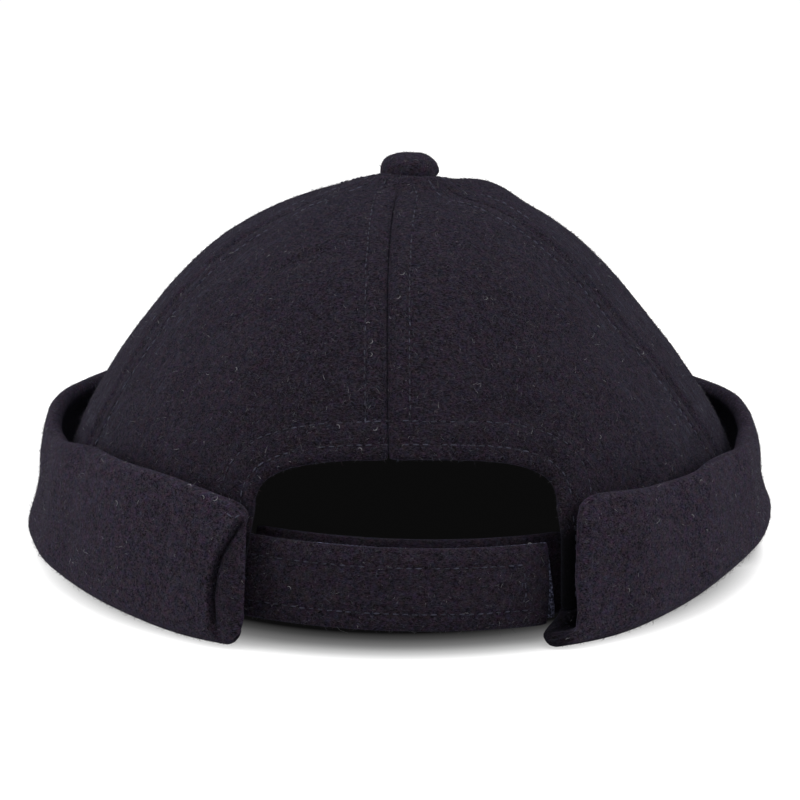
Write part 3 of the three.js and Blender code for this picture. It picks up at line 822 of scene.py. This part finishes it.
class BEANIE_OT_cuff(bpy.types.Operator):
    """Makes the doubled, turned-up cuff"""

    bl_idname = "beanie.cuff"
    bl_label = "Cuff"

    def execute(self, context):
        cloth = context.scene.beanie_cloth
        plump = cloth.cuff_plump / MM
        first, last = CUFF_SECTIONS[0, 0], CUFF_SECTIONS[-1, 0]
        even = cuff_angles(first, last)
        loop, spine, station = cuff_section(even, plump)

        def later(low, high):
            """0 at the leg's end of a section, 1 further along it."""
            return smooth(low, high, station)[:, None]

        # Where the wall and the leg end, at each height. The rim's two corners are round.
        height = loop[..., 1]
        rim = cuff_value(2, even)
        near_rim = np.clip(1 - (rim - height) / CUFF_CORNER, 0, 1)
        corner = CUFF_CORNER * (1 - np.sqrt(1 - np.minimum(near_rim, 0.999) ** 2)) * CUFF_PER_MM
        left_end, right_end = (np.interp(height, CUFF_ENDS[:, 0], CUFF_ENDS[:, k]) + corner for k in (1, 2))
        on_wall = later(10, 17)
        leg = 1 - later(0, 7)
        start = first + 3.2 * leg + (right_end - first) * on_wall
        stop = last - 1.5 * (1 - on_wall) - leg + (360 - left_end - last) * on_wall
        # The ends keep their true distances from the edge, so that they round off evenly.
        from_start, from_stop = even - first, last - even
        degrees = start + (stop - start) * (from_start / (last - first))
        degrees = np.where(from_start < 5, start + from_start, degrees)
        degrees = np.where(from_stop < 5, stop - from_stop, degrees)
        # Each point of the section takes the form that belongs to its own angle.
        faces, middles = np.empty_like(loop), np.empty_like(spine)
        for k, row in enumerate(degrees):
            loop_k, spine_k, _ = cuff_section(row, plump)
            faces[k], middles[k] = loop_k[k], spine_k[k]
        gap = np.minimum(from_start, from_stop) / CUFF_PER_MM
        end_round = 2.3
        slim = np.sqrt(1 - np.clip(1 - gap / end_round, 0, 1) ** 2)
        section = middles + (faces - middles) * slim[:, None]
        points = beside_crown(degrees, section[..., 0], section[..., 1])
        out = beside_crown(degrees, section[..., 0] + 1, section[..., 1]) - points

        # Folds, and a fuller foot and slimmer waist at the sides.
        wall = later(12, 20) * slim
        for at, wide, lift in CUFF_FOLDS:
            turn = turned_from(degrees, at) / wide
            points = points + out * (lift * np.exp(-turn**2) * wall)[..., None]
        side = bell(np.abs(np.mod(degrees, 360) - 180) - 98, 24)
        low = 1.3 * bell(height - fold_lift(degrees) - 5, 4.5) - 1.4 * bell(height - 21, 6.5)
        points = points + out * (low * side * later(7, 12) * slim)[..., None]
        soft = 0.55 * roughly(points * (1, 1, 0.45), 22, 5)
        soft = soft + 0.22 * roughly(points, 8, 6) + 0.08 * roughly(points, 3.4, 7)
        points = points + out * (soft * wall)[..., None]

        # On the left, the outer layer stops short of the layer that is turned in, with a fine gap between them.
        past = (np.interp(height, CUFF_LAYER_EDGE[:, 0], CUFF_LAYER_EDGE[:, 1]) - (360 - degrees)) / CUFF_PER_MM
        face = (np.arange(len(station)) < len(station) // 2)[:, None]
        layered = wall * (1 - smooth(30.5, 33, height)) * smooth(-0.5, 1.5, height) * (degrees > 300) * face
        step = -1.7 * smooth(-0.25, 0.7, past) - 1.1 * bell(past - 0.35, 0.5) + 0.7 * bell(past - 4, 2.4)
        points = points + out * (step * layered)[..., None]
        points[-1] = points[0]

        # Shade painted into the wool inside the fold near the ends, past the outer layer's edge, at the right toe
        # and behind the wall.
        toe = (1 - smooth(24.6, 26.2, degrees)) * (1 - smooth(8, 12, height)) * (degrees < 40)
        on_right = from_start < from_stop
        shade = np.where(on_right, 0.85 * (1 - later(10, 15.5)), 0.6 * (1 - later(9, 15))) * (gap < 20)
        for part in (
            (0.35 * smooth(-0.3, 0.9, past) + 0.4 * bell(past - 0.3, 0.6)) * layered,
            0.7 * toe,
            0.5 * (~face) * wall * smooth(0.5, 6, rim - height),
        ):
            shade = np.maximum(shade, part)
        place = np.stack((degrees * 1.7, height, np.where(shade > 0.02, -shade, 0.35)), axis=-1)
        bm = lay_out(points, out, place)
        bmesh.ops.remove_doubles(bm, verts=bm.verts[:], dist=4e-6)
        bmesh.ops.holes_fill(bm, edges=[e for e in bm.edges if e.is_boundary], sides=0)
        bmesh.ops.recalc_face_normals(bm, faces=bm.faces[:])
        wool = wool_material("cuff wool", tinted(cloth.wool, 1.36), contrast=1.3, nap=0.35)
        finished(bm, "wool_cuff", wool, ("cuff",))
        return {"FINISHED"}


def strap_middle(degrees):
    """The height of the strap's middle line."""
    share = np.clip((degrees - OUTER_STRAP[0]) / (OUTER_STRAP[1] - OUTER_STRAP[0]), 0, 1)
    return STRAP_MIDDLE[0] + (STRAP_MIDDLE[1] - STRAP_MIDDLE[0]) * share


def strap_lean(height):
    """How much further in the strap lies towards its upper edge."""
    return 0.0078 * np.maximum(0, height - 6) ** 2


def band(start, stop, height, depth, rise=0.0, inset=1.0, spacing=0.9, swell=0.0, groove=0.0, slant=0.0):
    """A grid for a band inside the crown's lower edge. depth gives how far in it lies at each angle."""
    columns = int((stop - start) / STRAP_PER_MM / spacing)
    rows = int(height / spacing)
    degrees = np.linspace(start + inset * STRAP_PER_MM, stop - inset * STRAP_PER_MM, columns + 1)[None, :]
    high = np.linspace(-height / 2 + inset, height / 2 - inset, rows + 1)[:, None]
    share = (degrees - degrees[0, 0]) / (degrees[0, -1] - degrees[0, 0])
    degrees = degrees - share**4 * slant * (1 + high / height * 2)
    level_line = strap_middle(degrees) + rise + high
    depths = depth(degrees)
    lean = strap_lean(level_line)
    edge = np.minimum(height / 2 - np.abs(high), np.minimum(degrees - start, stop - degrees) / STRAP_PER_MM)
    lift = swell * (smooth(0.5, 3.2, edge) - bell(edge - 4.6, 0.75) * groove)
    points = beside_crown(degrees, -depths - lean, level_line)
    out = beside_crown(degrees, 1 - depths - lean, level_line) - points
    lift = lift + 0.12 * roughly(points, 9, 8) + 0.06 * roughly(points, 3.5, 9)
    points = points + out * lift[..., None]
    return lay_out(points, out, np.stack((level_line, degrees * 1.7, 0 * level_line), axis=-1))


def swing(degrees):
    """The inner strap swings out to the panel that it is sewn to."""
    return INNER_DEPTH + (STRAP_DEPTH - INNER_DEPTH) * smooth(LOOP_TAPE[1] + 0.4, INNER_STRAP[1] - 3, degrees)


class BEANIE_OT_strap(bpy.types.Operator):
    """Makes the two strap ends and their hook and loop tapes"""

    bl_idname = "beanie.strap"
    bl_label = "Strap"

    def execute(self, context):
        cloth = context.scene.beanie_cloth
        wool = wool_material("strap wool", tinted(cloth.strap_wool, 1), contrast=1.2, flecks=0.8, bump=0.22)
        outer = band(*OUTER_STRAP, STRAP_HEIGHT, lambda d: STRAP_DEPTH, swell=0.35, groove=1.1, slant=-0.4)
        thicken(outer, STRAP_CLOTH)
        finished(outer, "wool_strap_outer", wool, ("strap_outer",))
        inner = band(*INNER_STRAP, STRAP_HEIGHT, swing, rise=1.0, swell=0.1, spacing=1.2)
        thicken(inner, STRAP_CLOTH)
        # The inner strap's wool is a darker copy of the strap's, as painted shade.
        painted_shade_wool = wool_material("strap wool with painted shade", tinted(cloth.strap_wool, 0.75), flecks=0.3, bump=0.22)
        finished(inner, "wool_strap_inner", painted_shade_wool, ("strap_inner",))
        nylon = tape_material(cloth.tape)
        for name, ends, depth in (("hook", HOOK_TAPE, HOOK_DEPTH), ("loop", LOOP_TAPE, LOOP_DEPTH)):
            tape = band(*ends, TAPE_HEIGHT, lambda d: depth, inset=0.3, spacing=1.2, slant=0.45)
            thicken(tape, TAPE_CLOTH, steps=3)
            finished(tape, f"{name}_tape_band", nylon, (f"{name}_tape",))
        return {"FINISHED"}


def tape_material(color):
    """Napped or hooked nylon tape."""
    made, tree, shader = named_material("closure tape", 0.7, 0.2)
    at = add(tree, "ShaderNodeTexCoord").outputs["Object"]
    fine = add(tree, "ShaderNodeTexNoise", {"Vector": at, "Scale": 1 / (0.55 * MM), "Detail": 2.0}).outputs["Fac"]
    shade = blend(tree, ranged(tree, fine, 0.46, 0.7), tinted(color, 0.45), tinted(color, 4.6))
    feed(tree, shader.inputs["Base Color"], shade)
    raise_grain(tree, shader, fine, 0.9, 0.35)
    return made


class BEANIE_OT_button(bpy.types.Operator):
    """Makes the covered button on top of the crown"""

    bl_idname = "beanie.button"
    bl_label = "Button"

    def execute(self, context):
        cloth = context.scene.beanie_cloth
        bm = bmesh.new()
        profile = [(0, -4.6), (1.1, -4.6), (1.1, -0.25), (3.0, -0.3), (5.2, -0.38), (6.6, -0.45), (7.2, -0.3)]
        for k in range(15):
            a = math.pi / 2 * k / 14
            profile.append((BUTTON_RADIUS * math.cos(a) ** 0.7, BUTTON_BASE + BUTTON_RISE * math.sin(a) ** 0.92))
        verts = [bm.verts.new((x * MM, 0, z * MM)) for x, z in profile]
        edges = [bm.edges.new(pair) for pair in zip(verts, verts[1:])]
        bmesh.ops.spin(bm, geom=verts + edges, cent=(0, 0, 0), axis=(0, 0, 1), angle=2 * math.pi, steps=56,
                       use_merge=True)
        bmesh.ops.remove_doubles(bm, verts=bm.verts[:], dist=1e-5)
        bmesh.ops.recalc_face_normals(bm, faces=bm.faces[:])
        put_in_order(bm)
        top = BUTTON_AT.copy()
        top.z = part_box("top_button")[0].z / MM + BUTTON_SEAT
        for v in bm.verts:
            p = v.co / MM
            reach = math.hypot(p.x, p.y)
            turn = math.atan2(p.y, p.x)
            # Soft gathers at the rim, where the cloth is drawn under.
            gather = 0.16 * math.cos(11 * turn + 0.8) + 0.1 * math.cos(7 * turn)
            rim = math.exp(-((p.z - BUTTON_BASE) / 1.5) ** 2) * (reach > 5)
            grow = 1 + gather * rim / BUTTON_RADIUS + 0.025 * math.cos(2 * turn + 0.6) * (reach > 2)
            v.co = Vector((p.x * grow, p.y * grow, p.z + 0.16 * noise.noise(p / 3.2) * (p.z > 0))) * MM
            v.co += top * MM
        wool = wool_material("button wool", tinted(cloth.wool, 1.12), contrast=0.9)
        finished(bm, "wool_button", wool, ("top_button",))
        return {"FINISHED"}


def surface_of(*names):
    """One search tree of the faces of finished pieces."""
    corners, faces = [], []
    for name in names:
        mesh = bpy.data.objects[name].data
        faces += [[len(corners) + k for k in p.vertices] for p in mesh.polygons]
        corners += [v.co.copy() for v in mesh.vertices]
    return BVHTree.FromPolygons(corners, faces)


def evenly_along(path, pitch):
    """Places and directions at an even pitch along a line of points."""
    path = np.asarray(path, float)
    travel = travelled(path)
    at = np.arange(pitch / 2, travel[-1], pitch)
    line, ahead = (
        np.stack([np.interp(places, travel, path[:, k]) for k in range(3)], axis=-1) for places in (at, at + 0.2)
    )
    return line, ahead - line


class BEANIE_OT_stitches(bpy.types.Operator):
    """Sews the topstitching beside the seams, round the arch and along the strap"""

    bl_idname = "beanie.stitches"
    bl_label = "Stitches"

    def execute(self, context):
        cloth, sewing = context.scene.beanie_cloth, context.scene.beanie_sewing
        panels = [name.replace("crown_panel", "wool_panel") for name, *_ in PANELS]
        crown = surface_of(*panels)
        one = bmesh.new()
        bmesh.ops.create_uvsphere(one, u_segments=6, v_segments=5, radius=1)
        put_in_order(one)
        stitch = bpy.data.meshes.new("one stitch")
        one.to_mesh(stitch)
        one.free()
        shape = np.array([v.co[:] + (1,) for v in stitch.vertices])
        stitch.attributes.new("tone", "FLOAT", "POINT")
        bm = bmesh.new()
        rng = np.random.default_rng(5)
        pitch = sewing.stitch_pitch / MM

        def sew(path, cloth_tree, sink=0.25, lightest=1.0):
            """Lays stitches along a path, on the nearest cloth."""
            line, heading = evenly_along(path, pitch)
            for p, d in zip(line, heading):
                spot, normal, _, far = cloth_tree.find_nearest(Vector((p + SHIFT) * MM))
                if spot is None or far > 4 * MM or rng.uniform() < 0.06:
                    continue
                d = Vector(d)
                d = (d - normal * d.dot(normal)).normalized()
                d = (d + normal.cross(d) * rng.normal(0, 0.07)).normalized()
                turned = Matrix((d, normal.cross(d), normal)).transposed().to_4x4()
                radius = sewing.thread_radius
                half = sewing.stitch_length / 2 * rng.uniform(0.86, 1.06)
                size = Matrix.Diagonal((half, radius * 1.15, radius, 1))
                deep = radius * (sink + rng.normal(0, 0.6))
                place = Matrix.Translation(spot + normal * deep) @ turned @ size
                stitch.vertices.foreach_set("co", (shape @ np.array(place).T)[:, :3].reshape(-1))
                stitch.attributes["tone"].data.foreach_set("value", np.full(len(shape), lightest * rng.uniform()))
                bm.from_mesh(stitch)

        up = np.linspace(0.02, 0.955, 140)
        for _, left_seam, right_seam, *_ in PANELS:
            start, end = seam_angles(left_seam, right_seam, up)
            width = panel_width(start[:, None], end[:, None], up[:, None])
            step = SEAM_STITCHES * np.minimum(1, width / 19) / width
            for across, seam in ((step, left_seam), (1 - step, right_seam)):
                path, _ = crown_point(start + (end - start) * across, up, across)
                sew(path[beyond_arch(path) > 7.4], crown, lightest=0.8 if seam.startswith("back") else 2.4)
        back = surface_of("wool_panel_back_left", "wool_panel_back_right")
        for beyond in ARCH_STITCHES:
            line = []
            for x, z in arch_outline(beyond, foot=10.0):
                start = Vector((x + SHIFT[0], -200, z)) * MM
                spot = back.ray_cast(start, Vector((0, 1, 0)))[0]
                if spot is not None:
                    line.append(np.array(spot) / MM - SHIFT)
            sew(line, back)
        # Two rows along the strap, and one across its free end.
        strap = surface_of("wool_strap_outer")
        lengthwise = np.linspace(-31, 20.4, 90)
        for degrees, z in (
            (lengthwise, strap_middle(lengthwise) + 5.6),
            (lengthwise, strap_middle(lengthwise) - 5.6),
            (np.full(12, 20.1), np.linspace(-5.0, 5.0, 12) + STRAP_MIDDLE[1]),
        ):
            sew(beside_crown(degrees, -STRAP_DEPTH - strap_lean(z), z), strap)
        # A few stitches tack the cuff's left end down.
        tack = np.linspace(0, 1, 9)
        line = beside_crown(-26.9 + 2.7 * tack, 2.0, 33.4 - 1.1 * np.sin(np.pi * tack))
        sew(line, surface_of("wool_cuff"), -0.2, 2.5)
        bpy.data.meshes.remove(stitch)
        finished(bm, "stitches", thread_material(cloth.thread))
        return {"FINISHED"}


def thread_material(color):
    """Twisted sewing thread, sunk in the wool and partly covered by its fibres."""
    made, tree, shader = named_material("sewing thread", 0.6, 0.25)
    tone = add(tree, "ShaderNodeAttribute", attribute_name="tone").outputs["Fac"]
    at = add(tree, "ShaderNodeTexCoord").outputs["Object"]
    wear = add(tree, "ShaderNodeTexNoise", {"Vector": at, "Scale": 1 / (1.1 * MM), "Detail": 2.0}).outputs["Fac"]
    tone = sums(tree, "ADD", sums(tree, "MULTIPLY", tone, 0.6), ranged(tree, wear, 0.35, 0.65, -0.25, 0.5))
    feed(tree, shader.inputs["Base Color"], blend(tree, tone, tinted(color, 0.5), tinted(color, 2.1)))
    return made


# Lint on the back: how far right and how high each bit lies, its length and turn.
LINT = np.array((
    (-45.7, 35.6, 2.3, 0.7), (-70.7, 29.8, 2.4, 1.8), (35.1, 3.3, 1.9, 1.3), (21.1, 78.8, 2.0, 0.5),
    (0.0, 84.6, 2.0, 0.4), (56.2, 12.2, 1.8, 1.6), (86.2, 25.3, 1.8, 1.8), (76.3, 33.5, 2.0, 3.0),
    (73.6, 25.7, 1.7, 2.0), (49.7, 46.1, 1.9, 0.9), (-7.5, 74.8, 1.5, 3.0), (-7.4, 70.7, 1.7, 1.0),
    (-41.1, 62.0, 2.0, 1.8), (-9.3, 47.9, 1.7, 2.4), (77.5, 21.2, 1.5, 2.2), (62.6, 59.5, 1.7, 0.3),
    (32.4, 24.1, 1.8, 2.9), (-48.0, 35.7, 1.6, 2.0), (51.2, 68.0, 1.6, 2.3), (-0.8, 79.9, 1.8, 0.7),
    (-14.9, 52.5, 1.8, 2.0), (-51.4, 37.7, 1.8, 2.5), (-26.7, 14.3, 1.6, 2.4), (-6.6, 52.5, 1.9, 0.3),
    (-7.4, 67.9, 1.8, 1.2),
))


# Name of the piece, the cloth that raises it, its slot, and how dense it is.
FIBRES = (
    ("fibres_back_left", "wool_panel_back_left", "crown_wool", 1.0),
    ("fibres_back_right", "wool_panel_back_right", "crown_wool", 1.0),
    ("fibres_side_left", "wool_panel_side_left", "crown_wool", 0.7),
    ("fibres_side_right", "wool_panel_side_right", "crown_wool", 0.7),
    ("fibres_front", "wool_panel_front", "crown_wool", 0.5),
    ("fibres_cuff", "wool_cuff", "cuff_wool", 1.0),
    ("fibres_strap", "wool_strap_outer", "strap_wool", 1.1),
    ("fibres_button", "wool_button", "button_wool", 1.2),
)


def fibre_ground(cloth):
    """Corners, normals and areas of a cloth's triangles, with no area where it raises no fibres."""
    mesh = bpy.data.objects[cloth].data
    mesh.calc_loop_triangles()
    corners = np.empty(len(mesh.vertices) * 3)
    mesh.vertices.foreach_get("co", corners)
    corners = corners.reshape(-1, 3)
    tris = np.empty(len(mesh.loop_triangles) * 3, int)
    mesh.loop_triangles.foreach_get("vertices", tris)
    a, b, c = (corners[tris.reshape(-1, 3)[:, k]] for k in range(3))
    normal = np.cross(b - a, c - a)
    area = np.linalg.norm(normal, axis=1) / 2
    normal /= np.maximum(2 * area, 1e-12)[:, None]
    centre = (a + b + c) / 3
    home = np.array((SHIFT[0], SHIFT[1], 20)) * MM
    faces_out = np.einsum("ij,ij->i", normal, centre - home) > 0
    # The recesses beside the strap, which the cuff's ends shade, have none.
    aside, back, high = np.abs(centre[:, 0]) / MM, -centre[:, 1] / MM, centre[:, 2] / MM
    if cloth == "wool_cuff":
        recess = (back > 80) & (aside < 40.5) & (high < 14)
    else:
        recess = (back > 80) & (aside > 37.5) & (aside < 49) & (high < 27) & (cloth != "wool_strap_outer")
    return a, b, c, normal, np.where(faces_out & ~recess, area, 0)


def fibre_points(cloth, density, seed, sewing):
    """Fibres as short, bent and tapered ribbons: three pairs of points for each, and each point's tone."""
    a, b, c, normal, area = fibre_ground(cloth)
    rng = np.random.default_rng(seed)
    count = int(area.sum() * 1e4 * sewing.fibres * density)
    pick = rng.choice(len(area), count, p=area / area.sum())
    u, v = rng.uniform(size=(2, count, 1))
    turned = u + v > 1
    u, v = np.where(turned, 1 - u, u), np.where(turned, 1 - v, v)
    root = a[pick] + (b - a)[pick] * u + (c - a)[pick] * v
    up = normal[pick]
    heading = np.cross(up, rng.normal(size=(count, 3)))
    heading /= np.linalg.norm(heading, axis=1, keepdims=True)
    lean = np.radians(rng.uniform(8, 62, (count, 1)))
    length = sewing.fibre_length * rng.lognormal(0, 0.4, (count, 1)).clip(0.4, 2.4)
    bend = rng.normal(0, 0.35, (count, 1)) * length
    across = np.cross(heading, up)
    width = sewing.fibre_width * rng.uniform(0.7, 1.4, (count, 1))
    flat = across * np.cos(lean) + np.cross(heading, across) * rng.normal(0, 0.5, (count, 1))
    flat /= np.linalg.norm(flat, axis=1, keepdims=True)
    rows = []
    for s, slim in ((0, 1), (0.5, 0.85), (1, 0.3)):
        out = np.sin(lean) * s * (1 - 0.35 * s)
        point = root + (heading * np.cos(lean) * s + up * out) * length + across * bend * s * s
        rows.append(np.stack((point - flat * width * slim / 2, point + flat * width * slim / 2), axis=1))
    points = np.stack(rows, axis=1).reshape(-1, 2, 3)
    points[..., 2] = np.maximum(points[..., 2], 0)
    return points, np.repeat(rng.uniform(size=count), 6)


def lint(material):
    """Lays curled ribbons on the back, at the places in the table."""
    cloths = surface_of("wool_panel_back_left", "wool_panel_back_right", "wool_cuff", "wool_strap_outer")
    bm = bmesh.new()
    tone = bm.verts.layers.float.new("tone")
    for right, high, length, turn in LINT:
        spot, normal, _, _ = cloths.ray_cast(Vector((right, -200, high)) * MM, Vector((0, 1, 0)))
        if spot is None:
            continue
        sideways = Vector((0, 0, 1)).cross(normal).normalized()
        above = normal.cross(sideways)
        last = None
        for k in range(7):
            a = turn + 0.45 * (k - 3)
            step = (sideways * math.cos(a) + above * math.sin(a)) * length * MM / 7
            at = spot + normal * 0.3 * MM if last is None else at + step
            thin = normal.cross(step).normalized() * 0.055 * MM * math.sin(math.pi * (k + 1) / 8)
            pair = [bm.verts.new(at - thin), bm.verts.new(at + thin)]
            for v in pair:
                v[tone] = 0.99
            if last:
                bm.faces.new((last[0], last[1], pair[1], pair[0]))
            last = pair
    finished(bm, "lint", material)


class BEANIE_OT_fibres(bpy.types.Operator):
    """Raises loose fibres off the wool and lays lint on it"""

    bl_idname = "beanie.fibres"
    bl_label = "Fibres"

    def execute(self, context):
        material = fibre_material()
        for seed, (name, cloth, slot, density) in enumerate(FIBRES, 1):
            points, tone = fibre_points(cloth, density, seed, context.scene.beanie_sewing)
            bm = bmesh.new()
            bmesh.ops.create_grid(bm, x_segments=1, y_segments=len(points) - 1, size=1)
            bm.verts.ensure_lookup_table()
            between = [f for f in bm.faces if min(v.index for v in f.verts) // 2 % 3 == 2]
            bmesh.ops.delete(bm, geom=between, context="FACES_ONLY")
            loose = [e for e in bm.edges if not e.link_faces]
            bmesh.ops.delete(bm, geom=loose, context="EDGES")
            piece = finished(bm, name, material)
            piece.data.vertices.foreach_set("co", points.reshape(-1))
            shades = piece.data.attributes.new("tone", "FLOAT", "POINT")
            shades.data.foreach_set("value", tone)
            piece.data.update()
        lint(material)
        return {"FINISHED"}


def fibre_material():
    """Loose wool fibres, mostly dark, with some dyed and some undyed ones."""
    made, tree, shader = named_material("loose wool fibre", 0.75, 0.15)
    tone = add(tree, "ShaderNodeAttribute", attribute_name="tone").outputs["Fac"]
    ramp = add(tree, "ShaderNodeValToRGB", {"Fac": tone})
    ramp.color_ramp.interpolation = "CONSTANT"
    stops = ((0.0, (0.02, 0.017, 0.024)), (0.3, (0.036, 0.031, 0.042)), (0.56, (0.06, 0.056, 0.072)),
             (0.76, (0.07, 0.045, 0.06)), (0.84, (0.06, 0.07, 0.1)), (0.93, (0.13, 0.13, 0.14)),
             (0.985, (0.3, 0.3, 0.32)))
    while len(ramp.color_ramp.elements) < len(stops):
        ramp.color_ramp.elements.new(1.0)
    for element, (at, color) in zip(ramp.color_ramp.elements, stops):
        element.position = at
        element.color = (*color, 1)
    feed(tree, shader.inputs["Base Color"], ramp.outputs["Color"])
    return made


def floor_material():
    """A white floor that glows a little, with a painted shadow where the cap stands over it."""
    made, tree, shader = named_material("white floor", 0.9, 0.05)
    at = add(tree, "ShaderNodeTexCoord").outputs["Object"]

    def out_of_oval(reach):
        """Distance from the cap's middle, which is 1 on the oval of the crown's lower edge."""
        oval = {"Vector": at, "Location": tuple(SHIFT * MM), "Scale": (LEVELS["side"][0] * MM, reach * MM, 1.0)}
        lay = add(tree, "ShaderNodeMapping", oval, vector_type="TEXTURE").outputs["Vector"]
        return add(tree, "ShaderNodeVectorMath", {0: lay}, operation="LENGTH").outputs["Value"]

    back, front = out_of_oval(LEVELS["back"][0]), out_of_oval(LEVELS["front"][0])
    ahead = ranged(tree, add(tree, "ShaderNodeSeparateXYZ", {"Vector": at}).outputs["Y"], -0.03, -0.005)
    front = ranged(tree, front, 0.9, 1.08, 0.5, 1.075)
    far = add(tree, "ShaderNodeMix", {0: ahead, 2: back, 3: front}).outputs[0]
    # Painted shadow: near black inside the crown's oval, greying to white just beyond its edge.
    ramp = add(tree, "ShaderNodeValToRGB", {"Fac": sums(tree, "MULTIPLY", far, 0.8)})
    shade = ramp.color_ramp
    for element, (place, grey) in zip(shade.elements, ((0.66, 0.0035), (0.86, 0.8))):
        element.position, element.color = place, (grey, grey, grey, 1)
    for place, grey in ((0.7, 0.06), (0.745, 0.17), (0.8, 0.4)):
        shade.elements.new(place).color = (grey, grey, grey, 1)
    glow_and_painted_shadow = ramp.outputs["Color"]
    # What the floor gives back to the cap is far less than what it shows.
    seen = add(tree, "ShaderNodeLightPath").outputs["Is Camera Ray"]
    feed(tree, shader.inputs["Emission Color"], blend(tree, seen, (0.14, 0.14, 0.14, 1), glow_and_painted_shadow))
    feed(tree, shader.inputs["Base Color"], blend(tree, 1.0, glow_and_painted_shadow, (0.7, 0.7, 0.7, 1), "MULTIPLY"))
    shader.inputs["Emission Strength"].default_value = 1.0
    return made


class BEANIE_OT_stage(bpy.types.Operator):
    """Sets the white floor, the soft lights and the camera"""

    bl_idname = "beanie.stage"
    bl_label = "Stage"

    def execute(self, context):
        scene = context.scene
        bm = bmesh.new()
        bmesh.ops.create_grid(bm, x_segments=1, y_segments=1, size=5)
        bmesh.ops.translate(bm, verts=bm.verts[:], vec=(0, 0, -0.0003))
        mesh = bpy.data.meshes.new("floor")
        bm.to_mesh(mesh)
        bm.free()
        floor = bpy.data.objects.new("floor", mesh)
        scene.collection.objects.link(floor)
        mesh.materials.append(floor_material())

        # The room looks white, and its softboxes light the cap from both sides and from above.
        world = bpy.data.worlds.new("white room")
        world.use_nodes = True
        tree = world.node_tree
        ray = add(tree, "ShaderNodeLightPath").outputs["Is Camera Ray"]
        tree.links.new(ranged(tree, ray, 0, 1, 0.12, 1.02), tree.nodes["Background"].inputs["Strength"])
        tree.nodes["Background"].inputs["Color"].default_value = (1, 1, 1, 1)
        scene.world = world
        for name, spot, size, power in (
            ("left softbox", (-1.1, -0.25, 0.6), 1.0, 10.5),
            ("right softbox", (1.1, -0.25, 0.6), 1.0, 9.3),
            ("top softbox", (0, -0.08, 1.4), 1.2, 10.5),
        ):
            light = bpy.data.lights.new(name, "AREA")
            light.size = size
            light.energy = power
            lamp = bpy.data.objects.new(name, light)
            lamp.location = spot
            lamp.rotation_euler = (Vector((0, 0, 0.05)) - Vector(spot)).to_track_quat("-Z", "Y").to_euler()
            scene.collection.objects.link(lamp)
        scene.view_settings.view_transform = "Standard"
        camera = bpy.data.cameras.new("camera")
        camera.lens = 141.6
        camera.sensor_width = 36
        camera.clip_start = 0.05
        eye = bpy.data.objects.new("camera", camera)
        eye.location = (0, -0.8341, 0.2442)
        eye.rotation_euler = (math.radians(90 - 13.883), 0, 0)
        scene.collection.objects.link(eye)
        scene.camera = eye
        return {"FINISHED"}


class BEANIE_PT_making(bpy.types.Panel):
    """Lists the steps that make the beanie"""

    bl_idname = "BEANIE_PT_making"
    bl_label = "Docker beanie"
    bl_space_type = "VIEW_3D"
    bl_region_type = "UI"
    bl_category = "Beanie"

    def draw(self, context):
        for step in STEPS:
            self.layout.operator(step.bl_idname)
        for group in (context.scene.beanie_cloth, context.scene.beanie_sewing):
            for name in group.__annotations__:
                self.layout.prop(group, name)


STEPS = (
    BEANIE_OT_crown,
    BEANIE_OT_cuff,
    BEANIE_OT_strap,
    BEANIE_OT_button,
    BEANIE_OT_stitches,
    BEANIE_OT_fibres,
    BEANIE_OT_stage,
)
CLASSES = (BeanieCloth, BeanieSewing, *STEPS, BEANIE_PT_making)


def register():
    for cls in CLASSES:
        bpy.utils.register_class(cls)
    bpy.types.Scene.beanie_cloth = bpy.props.PointerProperty(type=BeanieCloth)
    bpy.types.Scene.beanie_sewing = bpy.props.PointerProperty(type=BeanieSewing)


def unregister():
    del bpy.types.Scene.beanie_sewing
    del bpy.types.Scene.beanie_cloth
    for cls in reversed(CLASSES):
        bpy.utils.unregister_class(cls)


def main():
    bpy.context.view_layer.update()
    register()
    bpy.ops.beanie.crown()
    bpy.ops.beanie.cuff()
    bpy.ops.beanie.strap()
    bpy.ops.beanie.button()
    bpy.ops.beanie.stitches()
    bpy.ops.beanie.fibres()
    bpy.ops.beanie.stage()


if __name__ == "__main__":
    main()
